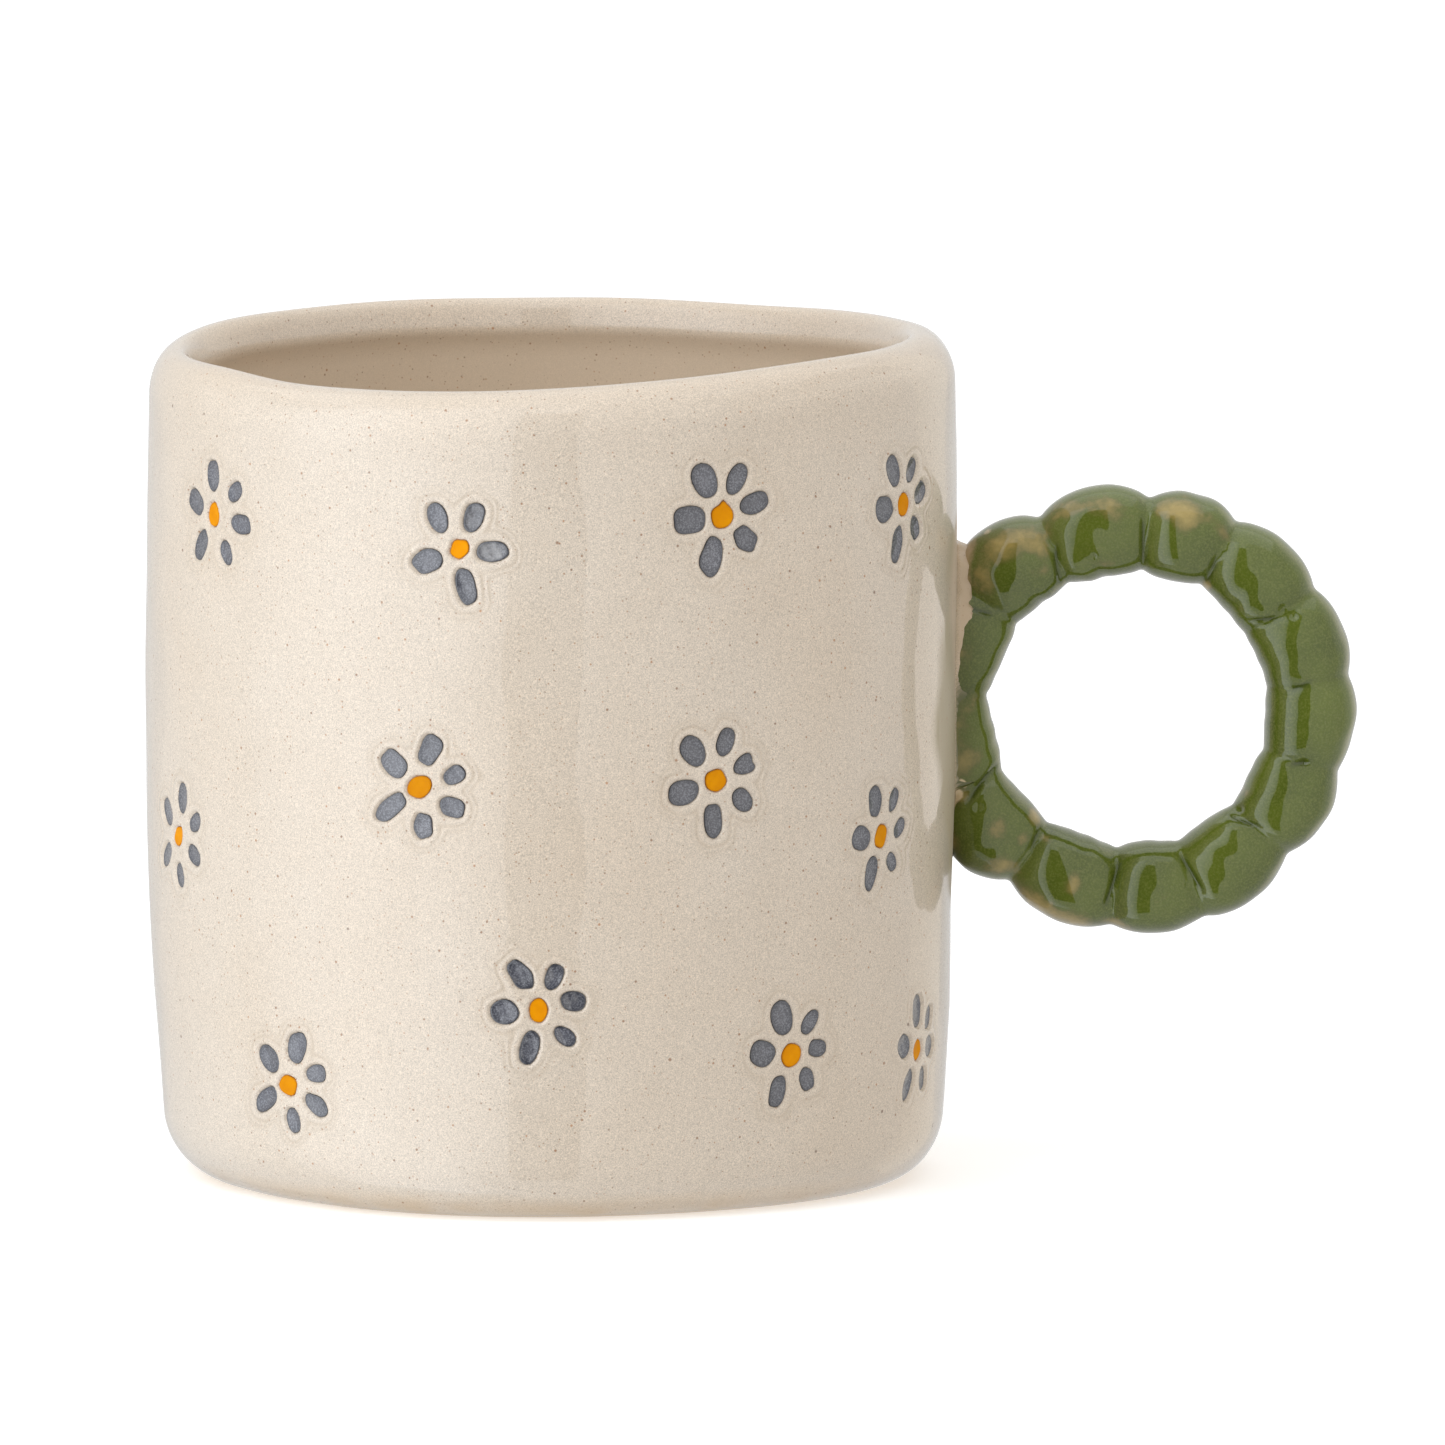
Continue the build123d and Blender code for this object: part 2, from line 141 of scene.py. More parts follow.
spots = []      # every dab of colour, in the flower's own flat coordinates
flowers = []
for row, members in ROWS.items():
    for azimuth, z, design, turn in members:
        fid = len(flowers)
        phi0 = radians(azimuth)
        flowers.append({"phi": phi0, "z": z, "r": float(wall_r(phi0, z)), "halo": float(rng.uniform(0.75, 1.25)), "halo_d": float(rng.uniform(0.88, 1.05)), "row": row, "spots": []})
        c, s = cos(radians(turn)), sin(radians(turn))
        petals, centre = DESIGNS[design]
        for k, (x, y, a, b, lean, full) in enumerate(petals):
            spots.append({"f": fid, "kind": "petals", "row": row, "x": x * c - y * s, "y": x * s + y * c, "a": a, "b": b, "t": radians(lean + turn), "full": full,
                          "wob": [(rng.normal(0, 0.016), rng.uniform(0, 2 * pi)) for _ in range(4)], "tone": float(rng.normal(0, 1)), "worn": 0.0, "quirk": None})
            if turn == 0 and design == "b" and k == 2:
                spots[-1]["worn"] = 1.0
            if turn == 0 and design == "b" and k == 3:
                spots[-1]["worn"] = 0.45
            if design == "g" and k == 3:
                spots[-1]["quirk"] = "chip"
            flowers[fid]["spots"].append(len(spots) - 1)
        a, b, lean = centre
        spots.append({"f": fid, "kind": "centres", "row": row, "x": 0.0, "y": 0.0, "a": a, "b": b, "t": radians(lean + turn), "full": 0.0,
                      "wob": [(rng.normal(0, 0.020), rng.uniform(0, 2 * pi)) for _ in range(4)], "tone": float(rng.normal(0, 1)), "worn": 0.0,
                      "quirk": "nib" if design == "c" and turn == 0 else None})
        flowers[fid]["spots"].append(len(spots) - 1)


def edge_factor(spot, ang):
    """Radius of a dab's outline relative to its ellipse, at a direction in the dab's own frame."""
    f = np.ones_like(ang)
    for n, (amp, ph) in enumerate(spot["wob"]):
        f = f + amp * np.cos((n + 2) * ang + ph)
    # slightly square shoulders, as a loaded brush leaves them
    f = f - (0.020 if spot["kind"] == "petals" else 0.0) * np.cos(4 * ang)
    if spot["quirk"] == "chip":
        d = np.angle(np.exp(1j * (ang + 0.15)))
        f = f - 0.20 * np.exp(-(d / 0.34) ** 2)
        d = np.angle(np.exp(1j * (ang - 0.75)))
        f = f + 0.10 * np.exp(-(d / 0.25) ** 2)
    if spot["quirk"] == "nib":
        d = np.angle(np.exp(1j * (ang - 0.0)))
        f = f + 0.24 * np.exp(-(d / 0.22) ** 2)
    return f


def spot_q(spot, x, y):
    """1 on the dab's outline, less inside; x and y are in the flower's flat coordinates."""
    c, s = cos(spot["t"]), sin(spot["t"])
    dx, dy = x - spot["x"], y - spot["y"]
    u, v = dx * c + dy * s, -dx * s + dy * c
    u, v = u / spot["a"], v / (spot["b"] * np.clip(1 + spot["full"] * np.clip(u / spot["a"], -1.2, 1.2), 0.5, 1.5))
    q = np.hypot(u, v)
    return q / edge_factor(spot, np.arctan2(v, u))


def spot_distance(spot, x, y):
    """Distance outside the dab's outline in mm, and its direction."""
    e = 0.004
    q = spot_q(spot, x, y)
    gx = (spot_q(spot, x + e, y) - spot_q(spot, x - e, y)) / (2 * e)
    gy = (spot_q(spot, x, y + e) - spot_q(spot, x, y - e)) / (2 * e)
    g = np.maximum(np.hypot(gx, gy), 0.15)
    return (q - 1) / g, gx / g, gy / g


def flat(flower, phi, z):
    d = np.angle(np.exp(1j * (phi - flower["phi"])))
    return d * flower["r"], z - flower["z"]


def nearest(phi, z):
    """For points on the wall: distance to the nearest dab of colour, its direction, the distance to the nearest
    flower's whole outline smoothed together, and that flower."""
    n = len(phi)
    best = np.full(n, 99.0); bx = np.zeros(n); by = np.zeros(n)
    soft = np.full(n, 99.0); who = np.full(n, -1)
    for fid, fl in enumerate(flowers):
        x, y = flat(fl, phi, z)
        m = np.flatnonzero((x * x + y * y) < 9.2 ** 2)
        if not len(m):
            continue
        acc = np.zeros(len(m))
        for sid in fl["spots"]:
            d, gx, gy = spot_distance(spots[sid], x[m], y[m])
            acc += np.exp(-np.clip(d, -3, 20) / 0.26)
            k = d < best[m]
            mk = m[k]
            best[mk], bx[mk], by[mk] = d[k], gx[k], gy[k]
        sd = -0.26 * np.log(np.maximum(acc, 1e-30))
        k = sd < soft[m]
        soft[m[k]], who[m[k]] = sd[k], fid
    return best, bx, by, soft, who


def stamp_outline(phi, z, soft, who):
    """How strongly the flower stamp's outline shows at each point, and the distance from it in mm."""
    halo = np.zeros(len(phi)); hd = np.full(len(phi), 1.0)
    ok = who >= 0
    halo[ok] = np.array([f["halo"] for f in flowers])[who[ok]]
    hd[ok] = np.array([f["halo_d"] for f in flowers])[who[ok]]
    wander = 0.09 * np.sin(phi * 83 + z * 1.1) + 0.06 * np.sin(z * 1.9 - phi * 57 + 1.0)
    patchy = 0.80 + 0.22 * np.sin(phi * 47 + z * 0.9 + 2.0) * np.sin(z * 0.77 - phi * 23)
    return halo * patchy, soft - hd - wander


def relief(phi, z):
    """How far the wall sinks, in mm, at each point: pockets for the colour, and the stamp's faint outline round each flower."""
    best, _, _, soft, who = nearest(phi, z)
    t = np.clip((best - 0.0) / 0.26, 0, 1)
    sink = 0.46 * (1 - t)
    sink = sink - 0.022 * np.exp(-((best - 0.50) / 0.20) ** 2)
    halo, e = stamp_outline(phi, z, soft, who)
    sink = sink + halo * (best > 0.3) * (0.065 * np.exp(-(e / 0.16) ** 2) - 0.036 * np.exp(-((e - 0.27) / 0.15) ** 2)
                                         + 0.036 * np.exp(-((e - 0.54) / 0.16) ** 2) - 0.024 * np.exp(-((e + 0.27) / 0.15) ** 2))
    # inside the stamp's outline the clay is pressed a touch lower
    sink = sink + 0.022 * np.clip(halo, 0, 1) / (1 + np.exp(np.clip(e / 0.12, -30, 30)))
    # a fold left by the finger that shaped the lip, and a scratch or two
    crest_z = HEIGHT + rim(phi)
    deg = np.degrees(phi) % 360
    for a0, a1, below, rise, depth in ((297, 339, 3.0, -1.3, 0.085), (306, 343, 1.9, -0.5, 0.06), (100, 138, 2.6, 0.9, 0.07), (14, 33, 2.2, 0.8, 0.05)):
        t = (deg - a0) / (a1 - a0)
        line = crest_z - (below + rise * t + 0.22 * np.sin(7 * t + a0))
        fade = np.clip(t / 0.15, 0, 1) * np.clip((1 - t) / 0.15, 0, 1)
        sink = sink + depth * fade * (np.exp(-((z - line) / 0.30) ** 2) - 0.5 * np.exp(-((z - line + 0.75) / 0.45) ** 2))
    return sink


# ------------------------------------------------------------------ meshes
def make_object(name, verts_mm, faces, smooth=True):
    mesh = bpy.data.meshes.new(name)
    mesh.from_pydata((np.asarray(verts_mm) * MM).tolist(), [], [list(map(int, f)) for f in faces])
    mesh.validate()
    if smooth:
        mesh.polygons.foreach_set("use_smooth", [True] * len(mesh.polygons))
    mesh.update()
    ob = bpy.data.objects.new(name, mesh)
    bpy.context.scene.collection.objects.link(ob)
    return ob


def add_attribute(ob, name, values):
    at = ob.data.attributes.new(name, "FLOAT", "POINT")
    at.data.foreach_set("value", np.asarray(values, np.float32))


COLS, SUB = 384, 4
V_BASE, V_WALL, V_LIP = 14, 110, 14
NV = V_BASE + V_WALL + V_LIP


def outer_rz(phi, v):
    """Outside of the cup at coarse row number v, which need not be whole: radius without relief, and height."""
    crest = HEIGHT + rim(phi)
    ztop = crest - LIP_H
    t = np.clip(v / V_BASE, 0, 1) * pi / 2
    zb = BASE_H * (1 - np.cos(t))
    ib = BASE_R * (1 - np.sin(t))
    w = np.clip((v - V_BASE) / V_WALL, 0, 1)
    zw = BASE_H + (ztop - BASE_H) * w
    u = np.clip((v - V_BASE - V_WALL) / V_LIP, 0, 1) * pi / 2
    zl = ztop + LIP_H * np.sin(u)
    il = lip_r(phi) * (1 - np.cos(u))
    z = np.where(v <= V_BASE, zb, np.where(v <= V_BASE + V_WALL, zw, zl))
    inset = np.where(v <= V_BASE, ib, np.where(v <= V_BASE + V_WALL, 0.0, il))
    return wall_r(phi, z) - inset, z


# which coarse cells need the fine grid
ci, cj = np.meshgrid(np.arange(COLS), np.arange(NV), indexing="ij")
cphi = (ci + 0.5) * 2 * pi / COLS
_, cz = outer_rz(cphi, cj + 0.5)
cb, _, _, cs, _ = nearest(cphi.ravel(), cz.ravel())
fine = ((np.minimum(cb, cs) < 1.9).reshape(COLS, NV)) & (cj > 0) & (cj < NV - 1)

FI, FJ = COLS * SUB, NV * SUB
used = np.zeros((FI, FJ + 1), bool)
used[::SUB, ::SUB] = True
for i, j in zip(*np.nonzero(fine)):
    i0, j0 = i * SUB, j * SUB
    ii = np.arange(i0, i0 + SUB + 1) % FI
    used[np.ix_(ii, np.arange(j0, j0 + SUB + 1))] = True
ident = np.full(used.shape, -1)
ident[used] = np.arange(used.sum())
gi, gj = np.nonzero(used)
phi = gi * 2 * pi / FI
v = gj / SUB
inner_fine = np.zeros(used.shape, bool)     # fine points that have fine cells all round: only these may shift
fmask = np.zeros((FI, FJ), bool)
for i, j in zip(*np.nonzero(fine)):
    fmask[i * SUB:(i + 1) * SUB, j * SUB:(j + 1) * SUB] = True
inner_fine[:, 1:-1] = fmask[:, 1:] & fmask[:, :-1] & np.roll(fmask, 1, 0)[:, 1:] & np.roll(fmask, 1, 0)[:, :-1]
may = inner_fine[gi, gj]
# slide fine points onto the top and bottom edge of each pocket, so that its edge is a clean line
r0, z0 = outer_rz(phi, v)
dz_dv = (outer_rz(phi, v + 0.05)[1] - outer_rz(phi, v - 0.05)[1]) / 0.1
step = 2 * pi / FI * PLAN_MEAN
for turn_no in range(2):
    r0, z0 = outer_rz(phi, v)
    idx = np.flatnonzero(may)
    best, gx, gy, whole, who = nearest(phi[idx], z0[idx])
    for level in (0.0, 0.26):
        k = np.abs(best - level) < 0.55 * step
        mv = idx[k]
        d = (best - level)[k]
        phi[mv] -= d * gx[k] / r0[mv]
        v[mv] -= d * gy[k] / np.maximum(dz_dv[mv], 0.3)
r0, z0 = outer_rz(phi, v)
sink = relief(phi, z0)
outer_xyz = np.stack([(r0 - sink) * np.cos(phi), (r0 - sink) * np.sin(phi), z0], 1)

verts = [outer_xyz]
faces = []
for i in range(COLS):
    for j in range(NV):
        a0, b0 = i * SUB, j * SUB
        if fine[i, j]:
            for a in range(SUB):
                for b in range(SUB):
                    p, q = (a0 + a) % FI, (a0 + a + 1) % FI
                    faces.append((ident[p, b0 + b], ident[q, b0 + b], ident[q, b0 + b + 1], ident[p, b0 + b + 1]))
        else:
            loop = [(a0 + a, b0) for a in range(SUB)] + [(a0 + SUB, b0 + b) for b in range(SUB)]
            loop += [(a0 + SUB - a, b0 + SUB) for a in range(SUB)] + [(a0, b0 + SUB - b) for b in range(SUB)]
            faces.append([ident[p % FI, q] for p, q in loop if used[p % FI, q]])

phc = np.arange(COLS) * 2 * pi / COLS
count = len(outer_xyz)


def ring_rows(rows):
    """Adds closed rings of COLS points each and returns their first indices."""
    global count
    starts = []
    for r, z in rows:
        verts.append(np.stack([r * np.cos(phc), r * np.sin(phc), z * np.ones(COLS)], 1))
        starts.append(count)
        count += COLS
    return starts


def join(a_ids, b_ids):
    for i in range(COLS):
        k = (i + 1) % COLS
        faces.append((a_ids[i], a_ids[k], b_ids[k], b_ids[i]))


crest = HEIGHT + rim(phc)
lip_edge = wall_r(phc, crest) - lip_r(phc)
inner_rows = []
for t in np.linspace(0, pi / 2, 10)[1:]:
    inner_rows.append((lip_edge - LIP_IN_R * np.sin(t) - 0.10 * (t > 1.3), crest - LIP_IN_H * (1 - np.cos(t))))
z_crease = crest - LIP_IN_H
r_crease = lip_edge - LIP_IN_R - 0.10
for d, back in ((0.35, 0.04), (0.8, 0.20), (1.4, 0.42), (2.2, 0.60), (3.2, 0.70)):
    inner_rows.append((r_crease + back, z_crease - d))
z_low = z_crease - 3.2
IN_FLOOR, IN_CORNER = 6.0, 8.0
slow = swell(phc, 40.0)
for w in np.linspace(0, 1, 26)[1:]:
    z = z_low + (IN_FLOOR + IN_CORNER - z_low) * w
    target = plan(phc) + prof(z) + 0.6 * slow - 5.0
    ease = np.clip(w * 3, 0, 1); ease = ease * ease * (3 - 2 * ease)
    inner_rows.append(((r_crease + 0.70) * (1 - ease) + target * ease + 0.03 * np.sin(z * 0.7 + 2 * phc), z))
base_r = inner_rows[-1][0]
for t in np.linspace(0, pi / 2, 10)[1:]:
    inner_rows.append((base_r - IN_CORNER * (1 - np.cos(t)), IN_FLOOR + IN_CORNER * (1 - np.sin(t))))
edge_r = inner_rows[-1][0]
for f in (0.85, 0.65, 0.4, 0.15):
    inner_rows.append((edge_r * f, IN_FLOOR - 0.12 * np.sin(pi * f) * np.ones(COLS)))
starts = ring_rows(inner_rows)
ids = [ident[::SUB, FJ]] + [np.arange(s, s + COLS) for s in starts]
for a, b in zip(ids, ids[1:]):
    join(a, b)
faces.append(list(ids[-1]))
n_inner_end = count
foot_edge = outer_xyz[ident[::SUB, 0]]
foot_r = np.hypot(foot_edge[:, 0], foot_edge[:, 1])
starts = ring_rows([(foot_r * f, 0.0) for f in (0.97, 0.8, 0.55, 0.3)])
ids = [ident[::SUB, 0]] + [np.arange(s, s + COLS) for s in starts]
for a, b in zip(ids, ids[1:]):
    join(b, a)
faces.append(list(ids[-1])[::-1])
verts = np.concatenate(verts)
verts[:, 2] -= 0.06 * np.clip((verts[:, 2] - 78) / 10, 0, 1)
cup = make_object("cup_glazed_wall", verts, faces)

x, y, z = verts.T
radius = np.hypot(x, y)
azim = np.arctan2(y, x)
is_outer = np.arange(len(verts)) < len(outer_xyz)
is_inner = (~is_outer) & (np.arange(len(verts)) < n_inner_end)
# inside: where painted shade goes on the inner wall and floor, from just under the lip's crease downwards
inside = np.where(is_inner, np.clip((HEIGHT + rim(azim) - LIP_IN_H + 0.6 - z) / 1.6, 0, 1), 0.0)
crest_here = HEIGHT + rim(azim)
lip = np.exp(-((z - crest_here + 0.6) / 1.1) ** 2) * (~(is_inner & (z < crest_here - 3)))
foot = np.clip(1 - z / 3.0, 0, 1) * is_outer + ((~is_outer) & (~is_inner)) * 1.0
foot_bare = ((~is_outer) & (~is_inner)) * 1.0
foot_bare[:len(outer_xyz)] = np.clip(1 - z0 / 0.45, 0, 1)
add_attribute(cup, "inside", inside)
add_attribute(cup, "lip", lip)
add_attribute(cup, "foot", foot)
add_attribute(cup, "bare", foot_bare)
# clay shows warmer where the glaze runs thin over the rim of each pocket
near_d = np.full(len(verts), 9.0)
near_d[:len(outer_xyz)] = nearest(phi, z0)[0]
add_attribute(cup, "pocket", np.clip(1 - near_d / 0.5, 0, 1))
_, _, _, near_soft, near_who = nearest(phi, z0)
halo_v, halo_e = stamp_outline(phi, z0, near_soft, near_who)
# the stamp's grooves are painted a darker tan: painted shade in the grooves
stamp_groove_shade = np.zeros(len(verts))
stamp_groove_shade[:len(outer_xyz)] = halo_v * (np.exp(-(halo_e / 0.17) ** 2) + 0.6 * np.exp(-((halo_e - 0.52) / 0.17) ** 2))
add_attribute(cup, "stamp", np.clip(stamp_groove_shade, 0, 1))
# slip wiped over the wall beside the ring
arc = np.abs(np.angle(np.exp(1j * azim))) * 42.5
half_turn = np.sign(np.angle(np.exp(1j * azim)))
reach_w = 16.2 * np.sqrt(np.clip(1 - ((z - 49.5) / 23.0) ** 2, 0, 1)) * np.where(half_turn > 0, 0.80, 1.0)
reach_w = reach_w + 0.9 * np.sin(z * 0.31 + 0.8 * half_turn) + 0.5 * np.sin(z * 0.72 + 2.0 * half_turn)
side = np.clip((reach_w - arc) / 5.0 + 0.5, 0, 1)
tall = np.clip((z - 26.0) / 5.0, 0, 1) * np.clip((73.0 - z) / 5.0, 0, 1)
add_attribute(cup, "smear", np.where(is_outer, side * tall, 0.0))
pale_w = 11.0 * np.sqrt(np.clip(1 - ((z - 61.5) / 13.5) ** 2, 0, 1)) + 0.7 * np.sin(z * 0.55 + half_turn)
pale = np.clip((pale_w - arc) / 3.0 + 0.5, 0, 1) * np.clip((z - 48.5) / 6.0, 0, 1)
add_attribute(cup, "pale", np.where(is_outer, pale, 0.0))


# ---- colour in the pockets
def dabs(row, kind):
    vs, fs, edge, tone, worn, along = [], [], [], [], [], []
    n = 0
    seg = 44
    ang = np.arange(seg) * 2 * pi / seg
    rings = [0.0, 0.22, 0.42, 0.60, 0.74, 0.85, 0.93, 0.98, 1.0]
    for sid, sp in enumerate(spots):
        if sp["row"] != row or sp["kind"] != kind:
            continue
        fl = flowers[sp["f"]]
        grow = 0.03
        fac = edge_factor(sp, ang)
        ca, sa = np.cos(ang), np.sin(ang)
        deep, rise = (0.20, 0.13) if kind == "petals" else (0.15, 0.06)
        layers = []
        for q in rings:
            u = sp["a"] * q * fac * ca
            w = sp["b"] * q * fac * sa * (1 + sp["full"] * q * ca)
            norm = np.hypot(u, w) + 1e-9
            u = u * (1 + grow * q / norm); w = w * (1 + grow * q / norm)
            c, s = cos(sp["t"]), sin(sp["t"])
            X, Y = sp["x"] + u * c - w * s, sp["y"] + u * s + w * c
            layers.append((X, Y, (deep + rise * (1 - q * q) + 0.05 * max(0, q - 0.93) / 0.07) * np.ones(seg), q))
        layers.append((layers[-1][0], layers[-1][1], np.full(seg, 0.62), 1.0))
        layers.append((sp["x"] + (layers[-1][0] - sp["x"]) * 0.5, sp["y"] + (layers[-1][1] - sp["y"]) * 0.5, np.full(seg, 0.64), 1.0))
        first = n
        for li, (X, Y, dep, q) in enumerate(layers):
            ph = fl["phi"] + X / fl["r"]
            zz = fl["z"] + Y
            # a brush leaves the floor of a pocket a little uneven
            uneven = 0.012 * np.sin(5.1 * X + 2.3 * Y + sid) + 0.010 * np.sin(4.3 * Y - 3.1 * X + 1.7 * sid)
            base = wall_r(ph, zz) - np.where(zz < BASE_H, BASE_R * (1 - np.sqrt(np.clip(1 - ((BASE_H - zz) / BASE_H) ** 2, 0, 1))), 0)
            rr = base - dep - (uneven if q < 0.95 else 0)
            if li == 0:
                vs.append([[rr[0] * cos(ph[0]), rr[0] * sin(ph[0]), zz[0]]])
                edge.append([0.0]); tone.append([sp["tone"]]); worn.append([sp["worn"]]); along.append([0.0])
                n += 1
            else:
                vs.append(np.stack([rr * np.cos(ph), rr * np.sin(ph), zz], 1))
                edge.append(np.full(seg, q if li < len(rings) else 1.0)); tone.append(np.full(seg, sp["tone"])); worn.append(np.full(seg, sp["worn"])); along.append(q * ca)
                n += seg
        for k in range(seg):
            m = (k + 1) % seg
            fs.append((first, first + 1 + k, first + 1 + m))
            for li in range(len(layers) - 2):
                a = first + 1 + li * seg
                fs.append((a + k, a + seg + k, a + seg + m, a + m))
        a = first + 1 + (len(layers) - 2) * seg
        fs.append([a + seg - 1 - k for k in range(seg)])
    ob = make_object(f"{row}_row_{kind}_glazed", np.concatenate([np.asarray(q, float) for q in vs]), fs)
    add_attribute(ob, "edge", np.concatenate(edge))
    add_attribute(ob, "tone", np.concatenate(tone))
    add_attribute(ob, "worn", np.concatenate(worn))
    add_attribute(ob, "along", np.concatenate(along))
    return ob


colour = {(row, kind): dabs(row, kind) for row in ROWS for kind in ("petals", "centres")}

# ------------------------------------------------------------------ the ring handle
PINCH = [(9.0, 23.30, 14.90), (33.0, 23.50, 14.85), (60.0, 22.75, 15.45), (84.0, 22.18, 15.12), (114.5, 22.20, 15.08), (142.0, 22.70, 15.05), (173.5, 22.70, 14.84),
         (206.0, 22.40, 14.55), (235.5, 21.82, 14.75), (266.0, 22.90, 14.85), (291.0, 23.16, 14.85), (318.0, 22.95, 15.05), (343.5, 23.26, 15.15)]
CREST = [(21, 24.48, 14.68), (45, 24.42, 14.68), (72, 24.11, 14.42), (99, 23.84, 14.05), (127, 24.26, 14.20), (158, 24.10, 14.05), (190, 24.10, 14.05),
         (221, 24.00, 14.10), (251.5, 23.58, 13.95), (278, 23.84, 14.26), (303.5, 24.16, 14.63), (331, 23.95, 14.58), (357, 24.13, 14.58)]
# half thickness of the ring in each pinch
VALLEY = [4.05, 3.78, 3.62, 3.40, 3.45, 3.45, 3.85, 3.50, 3.35, 3.30, 3.35, 3.62, 3.85]
NT, NP = 780, 132
th = np.arange(NT) * 360 / NT
ro, ri, swl, face_round = np.zeros(NT), np.zeros(NT), np.zeros(NT), np.zeros(NT)
for i in range(13):
    a0, o0, i0 = PINCH[i]
    a1, o1, i1 = PINCH[(i + 1) % 13]
    if a1 < a0:
        a1 += 360
    ang = np.where(th < a0, th + 360, th)
    m = (ang >= a0) & (ang < a1)
    t = (ang[m] - a0) / (a1 - a0)
    peak = (CREST[i][0] + (360 if CREST[i][0] < a0 - 1 else 0) - a0) / (a1 - a0)
    peak = min(max(peak, 0.42), 0.58)
    s = np.where(t < peak, t / peak * 0.5, 0.5 + (t - peak) / (1 - peak) * 0.5)
    b = (1 - np.abs(2 * s - 1) ** 2.15) ** 0.82
    ro[m] = o0 + (o1 - o0) * t + (CREST[i][1] - (o0 + (o1 - o0) * peak)) * b
    ri[m] = i0 + (i1 - i0) * t + (CREST[i][2] - (i0 + (i1 - i0) * peak)) * b
    swl[m] = b
    u1 = np.abs(2 * s - 1)
    v0, v1 = VALLEY[i], VALLEY[(i + 1) % 13]
    low_here = v0 + (v1 - v0) * s
    face_round[m] = 4.93 - (4.93 - low_here) * (0.42 * u1 ** 2 + 0.58 * u1 ** 4)


def soften(a, sigma_deg):
    n = len(a)
    f = np.fft.rfft(a)
    k = np.fft.rfftfreq(n, 360 / n)
    return np.fft.irfft(f * np.exp(-2 * (pi * k * sigma_deg) ** 2), n)


ro_s, ri_s, swl_s = soften(ro, 0.9), soften(ri, 1.0), soften(swl, 0.9)
round_s = soften(face_round, 0.8)
T, P = np.meshgrid(np.arange(NT), np.arange(NP), indexing="ij")
theta = radians(1) * th[T]
psi = P * 2 * pi / NP
rc = (ro_s + ri_s)[T] / 2
ra = (ro_s - ri_s)[T] / 2
hy = round_s[T]
# beads aren't quite round in section: a little fuller towards the outside
rho = rc + ra * np.cos(psi)
yy = -hy * np.sin(psi) * (1 + 0.03 * np.cos(psi)) * (1 + 0.20 * np.cos(psi) ** 2)
# pinch marks on the two faces: angle, slant, from and to across the face (0 inner edge, 1 outer edge), depth, width
MARKS = [(114.0, -9, 0.06, 0.62, 0.30, 0.75), (84.5, 5, 0.10, 0.80, 0.26, 0.60), (60.5, 7, 0.02, 0.52, 0.22, 0.60), (34.0, -14, 0.12, 0.50, 0.30, 0.55),
         (9.5, 4, 0.25, 0.60, 0.10, 0.70), (343.0, 8, 0.30, 0.62, 0.24, 0.55), (318.5, 12, 0.02, 0.48, 0.34, 0.60), (291.5, 7, 0.12, 0.70, 0.30, 0.65),
         (265.5, -4, 0.06, 0.74, 0.36, 0.65), (236.0, 9, 0.04, 0.44, 0.30, 0.60), (207.5, 14, 0.02, 0.60, 0.34, 0.70), (174.0, 5, 0.2, 0.5, 0.10, 0.8), (143.5, 8, 0.30, 0.72, 0.28, 0.65)]
across = (1 + np.cos(psi)) / 2
inw = np.zeros(theta.shape)       # how far the surface is pushed in along its normal
mark_shade = np.zeros(theta.shape)
for face in (1, -1):
    for k, (a, slant, lo, hi, dep, wid) in enumerate(MARKS):
        jitter = 0 if face == 1 else (3.0 * sin(7.7 * k))
        on_face = (yy < 0) if face == 1 else (yy > 0)
        centre_line = a + jitter + slant * (across - 0.4) + 0.7 * np.sin(4 * across + k)
        d = np.angle(np.exp(1j * (theta - radians(1) * centre_line))) * rho
        along_w = np.clip((across - lo) / 0.10, 0, 1) * np.clip((hi - across) / 0.14, 0, 1)
        groove = np.exp(-np.abs(d / (wid * 0.42)) ** 1.5) * along_w * on_face * np.abs(np.sin(psi)) ** 0.5
        inw += 0.8 * dep * groove
        mark_shade = np.maximum(mark_shade, groove)
# small pits and lumps of the pressed clay: angle, across, radius, depth
for a, ac, rad, dep in [(34.5, 0.55, 0.42, 0.30), (30.5, 0.60, 0.30, 0.18), (344.5, 0.50, 0.40, 0.26), (319.0, 0.10, 0.45, 0.30), (102.0, 0.30, 0.22, 0.16), (354.5, 0.66, 0.20, 0.14),
                        (2.0, 0.72, 0.18, 0.12), (208.0, 0.62, 0.55, -0.25), (212.0, 0.45, 0.5, 0.22), (60.0, 0.62, 0.35, -0.14), (289.0, 0.52, 0.18, 0.10), (72.0, 0.55, 0.18, 0.08)]:
    d = np.hypot(np.angle(np.exp(1j * (theta - radians(1) * a))) * rho, (across - ac) * 9.4)
    inw += dep * np.exp(-(d / rad) ** 2) * (yy < 0)
# finger-made unevenness
for _ in range(16):
    m, n, am, p0 = int(rng.integers(2, 14)), int(rng.integers(0, 3)), rng.uniform(0.015, 0.05), rng.uniform(0, 2 * pi)
    inw += am * np.cos(m * theta + n * psi + p0)
for _ in range(16):
    m, n, am, p0 = int(rng.integers(18, 46)), int(rng.integers(1, 6)), rng.uniform(0.004, 0.012), rng.uniform(0, 2 * pi)
    inw += am * np.cos(m * theta + n * psi + p0)
nr, ny = np.cos(psi), -np.sin(psi)
rho = rho - inw * nr
yy = yy - inw * ny
hx = RING_X + rho * np.cos(theta)
hz = RING_Z + rho * np.sin(theta)
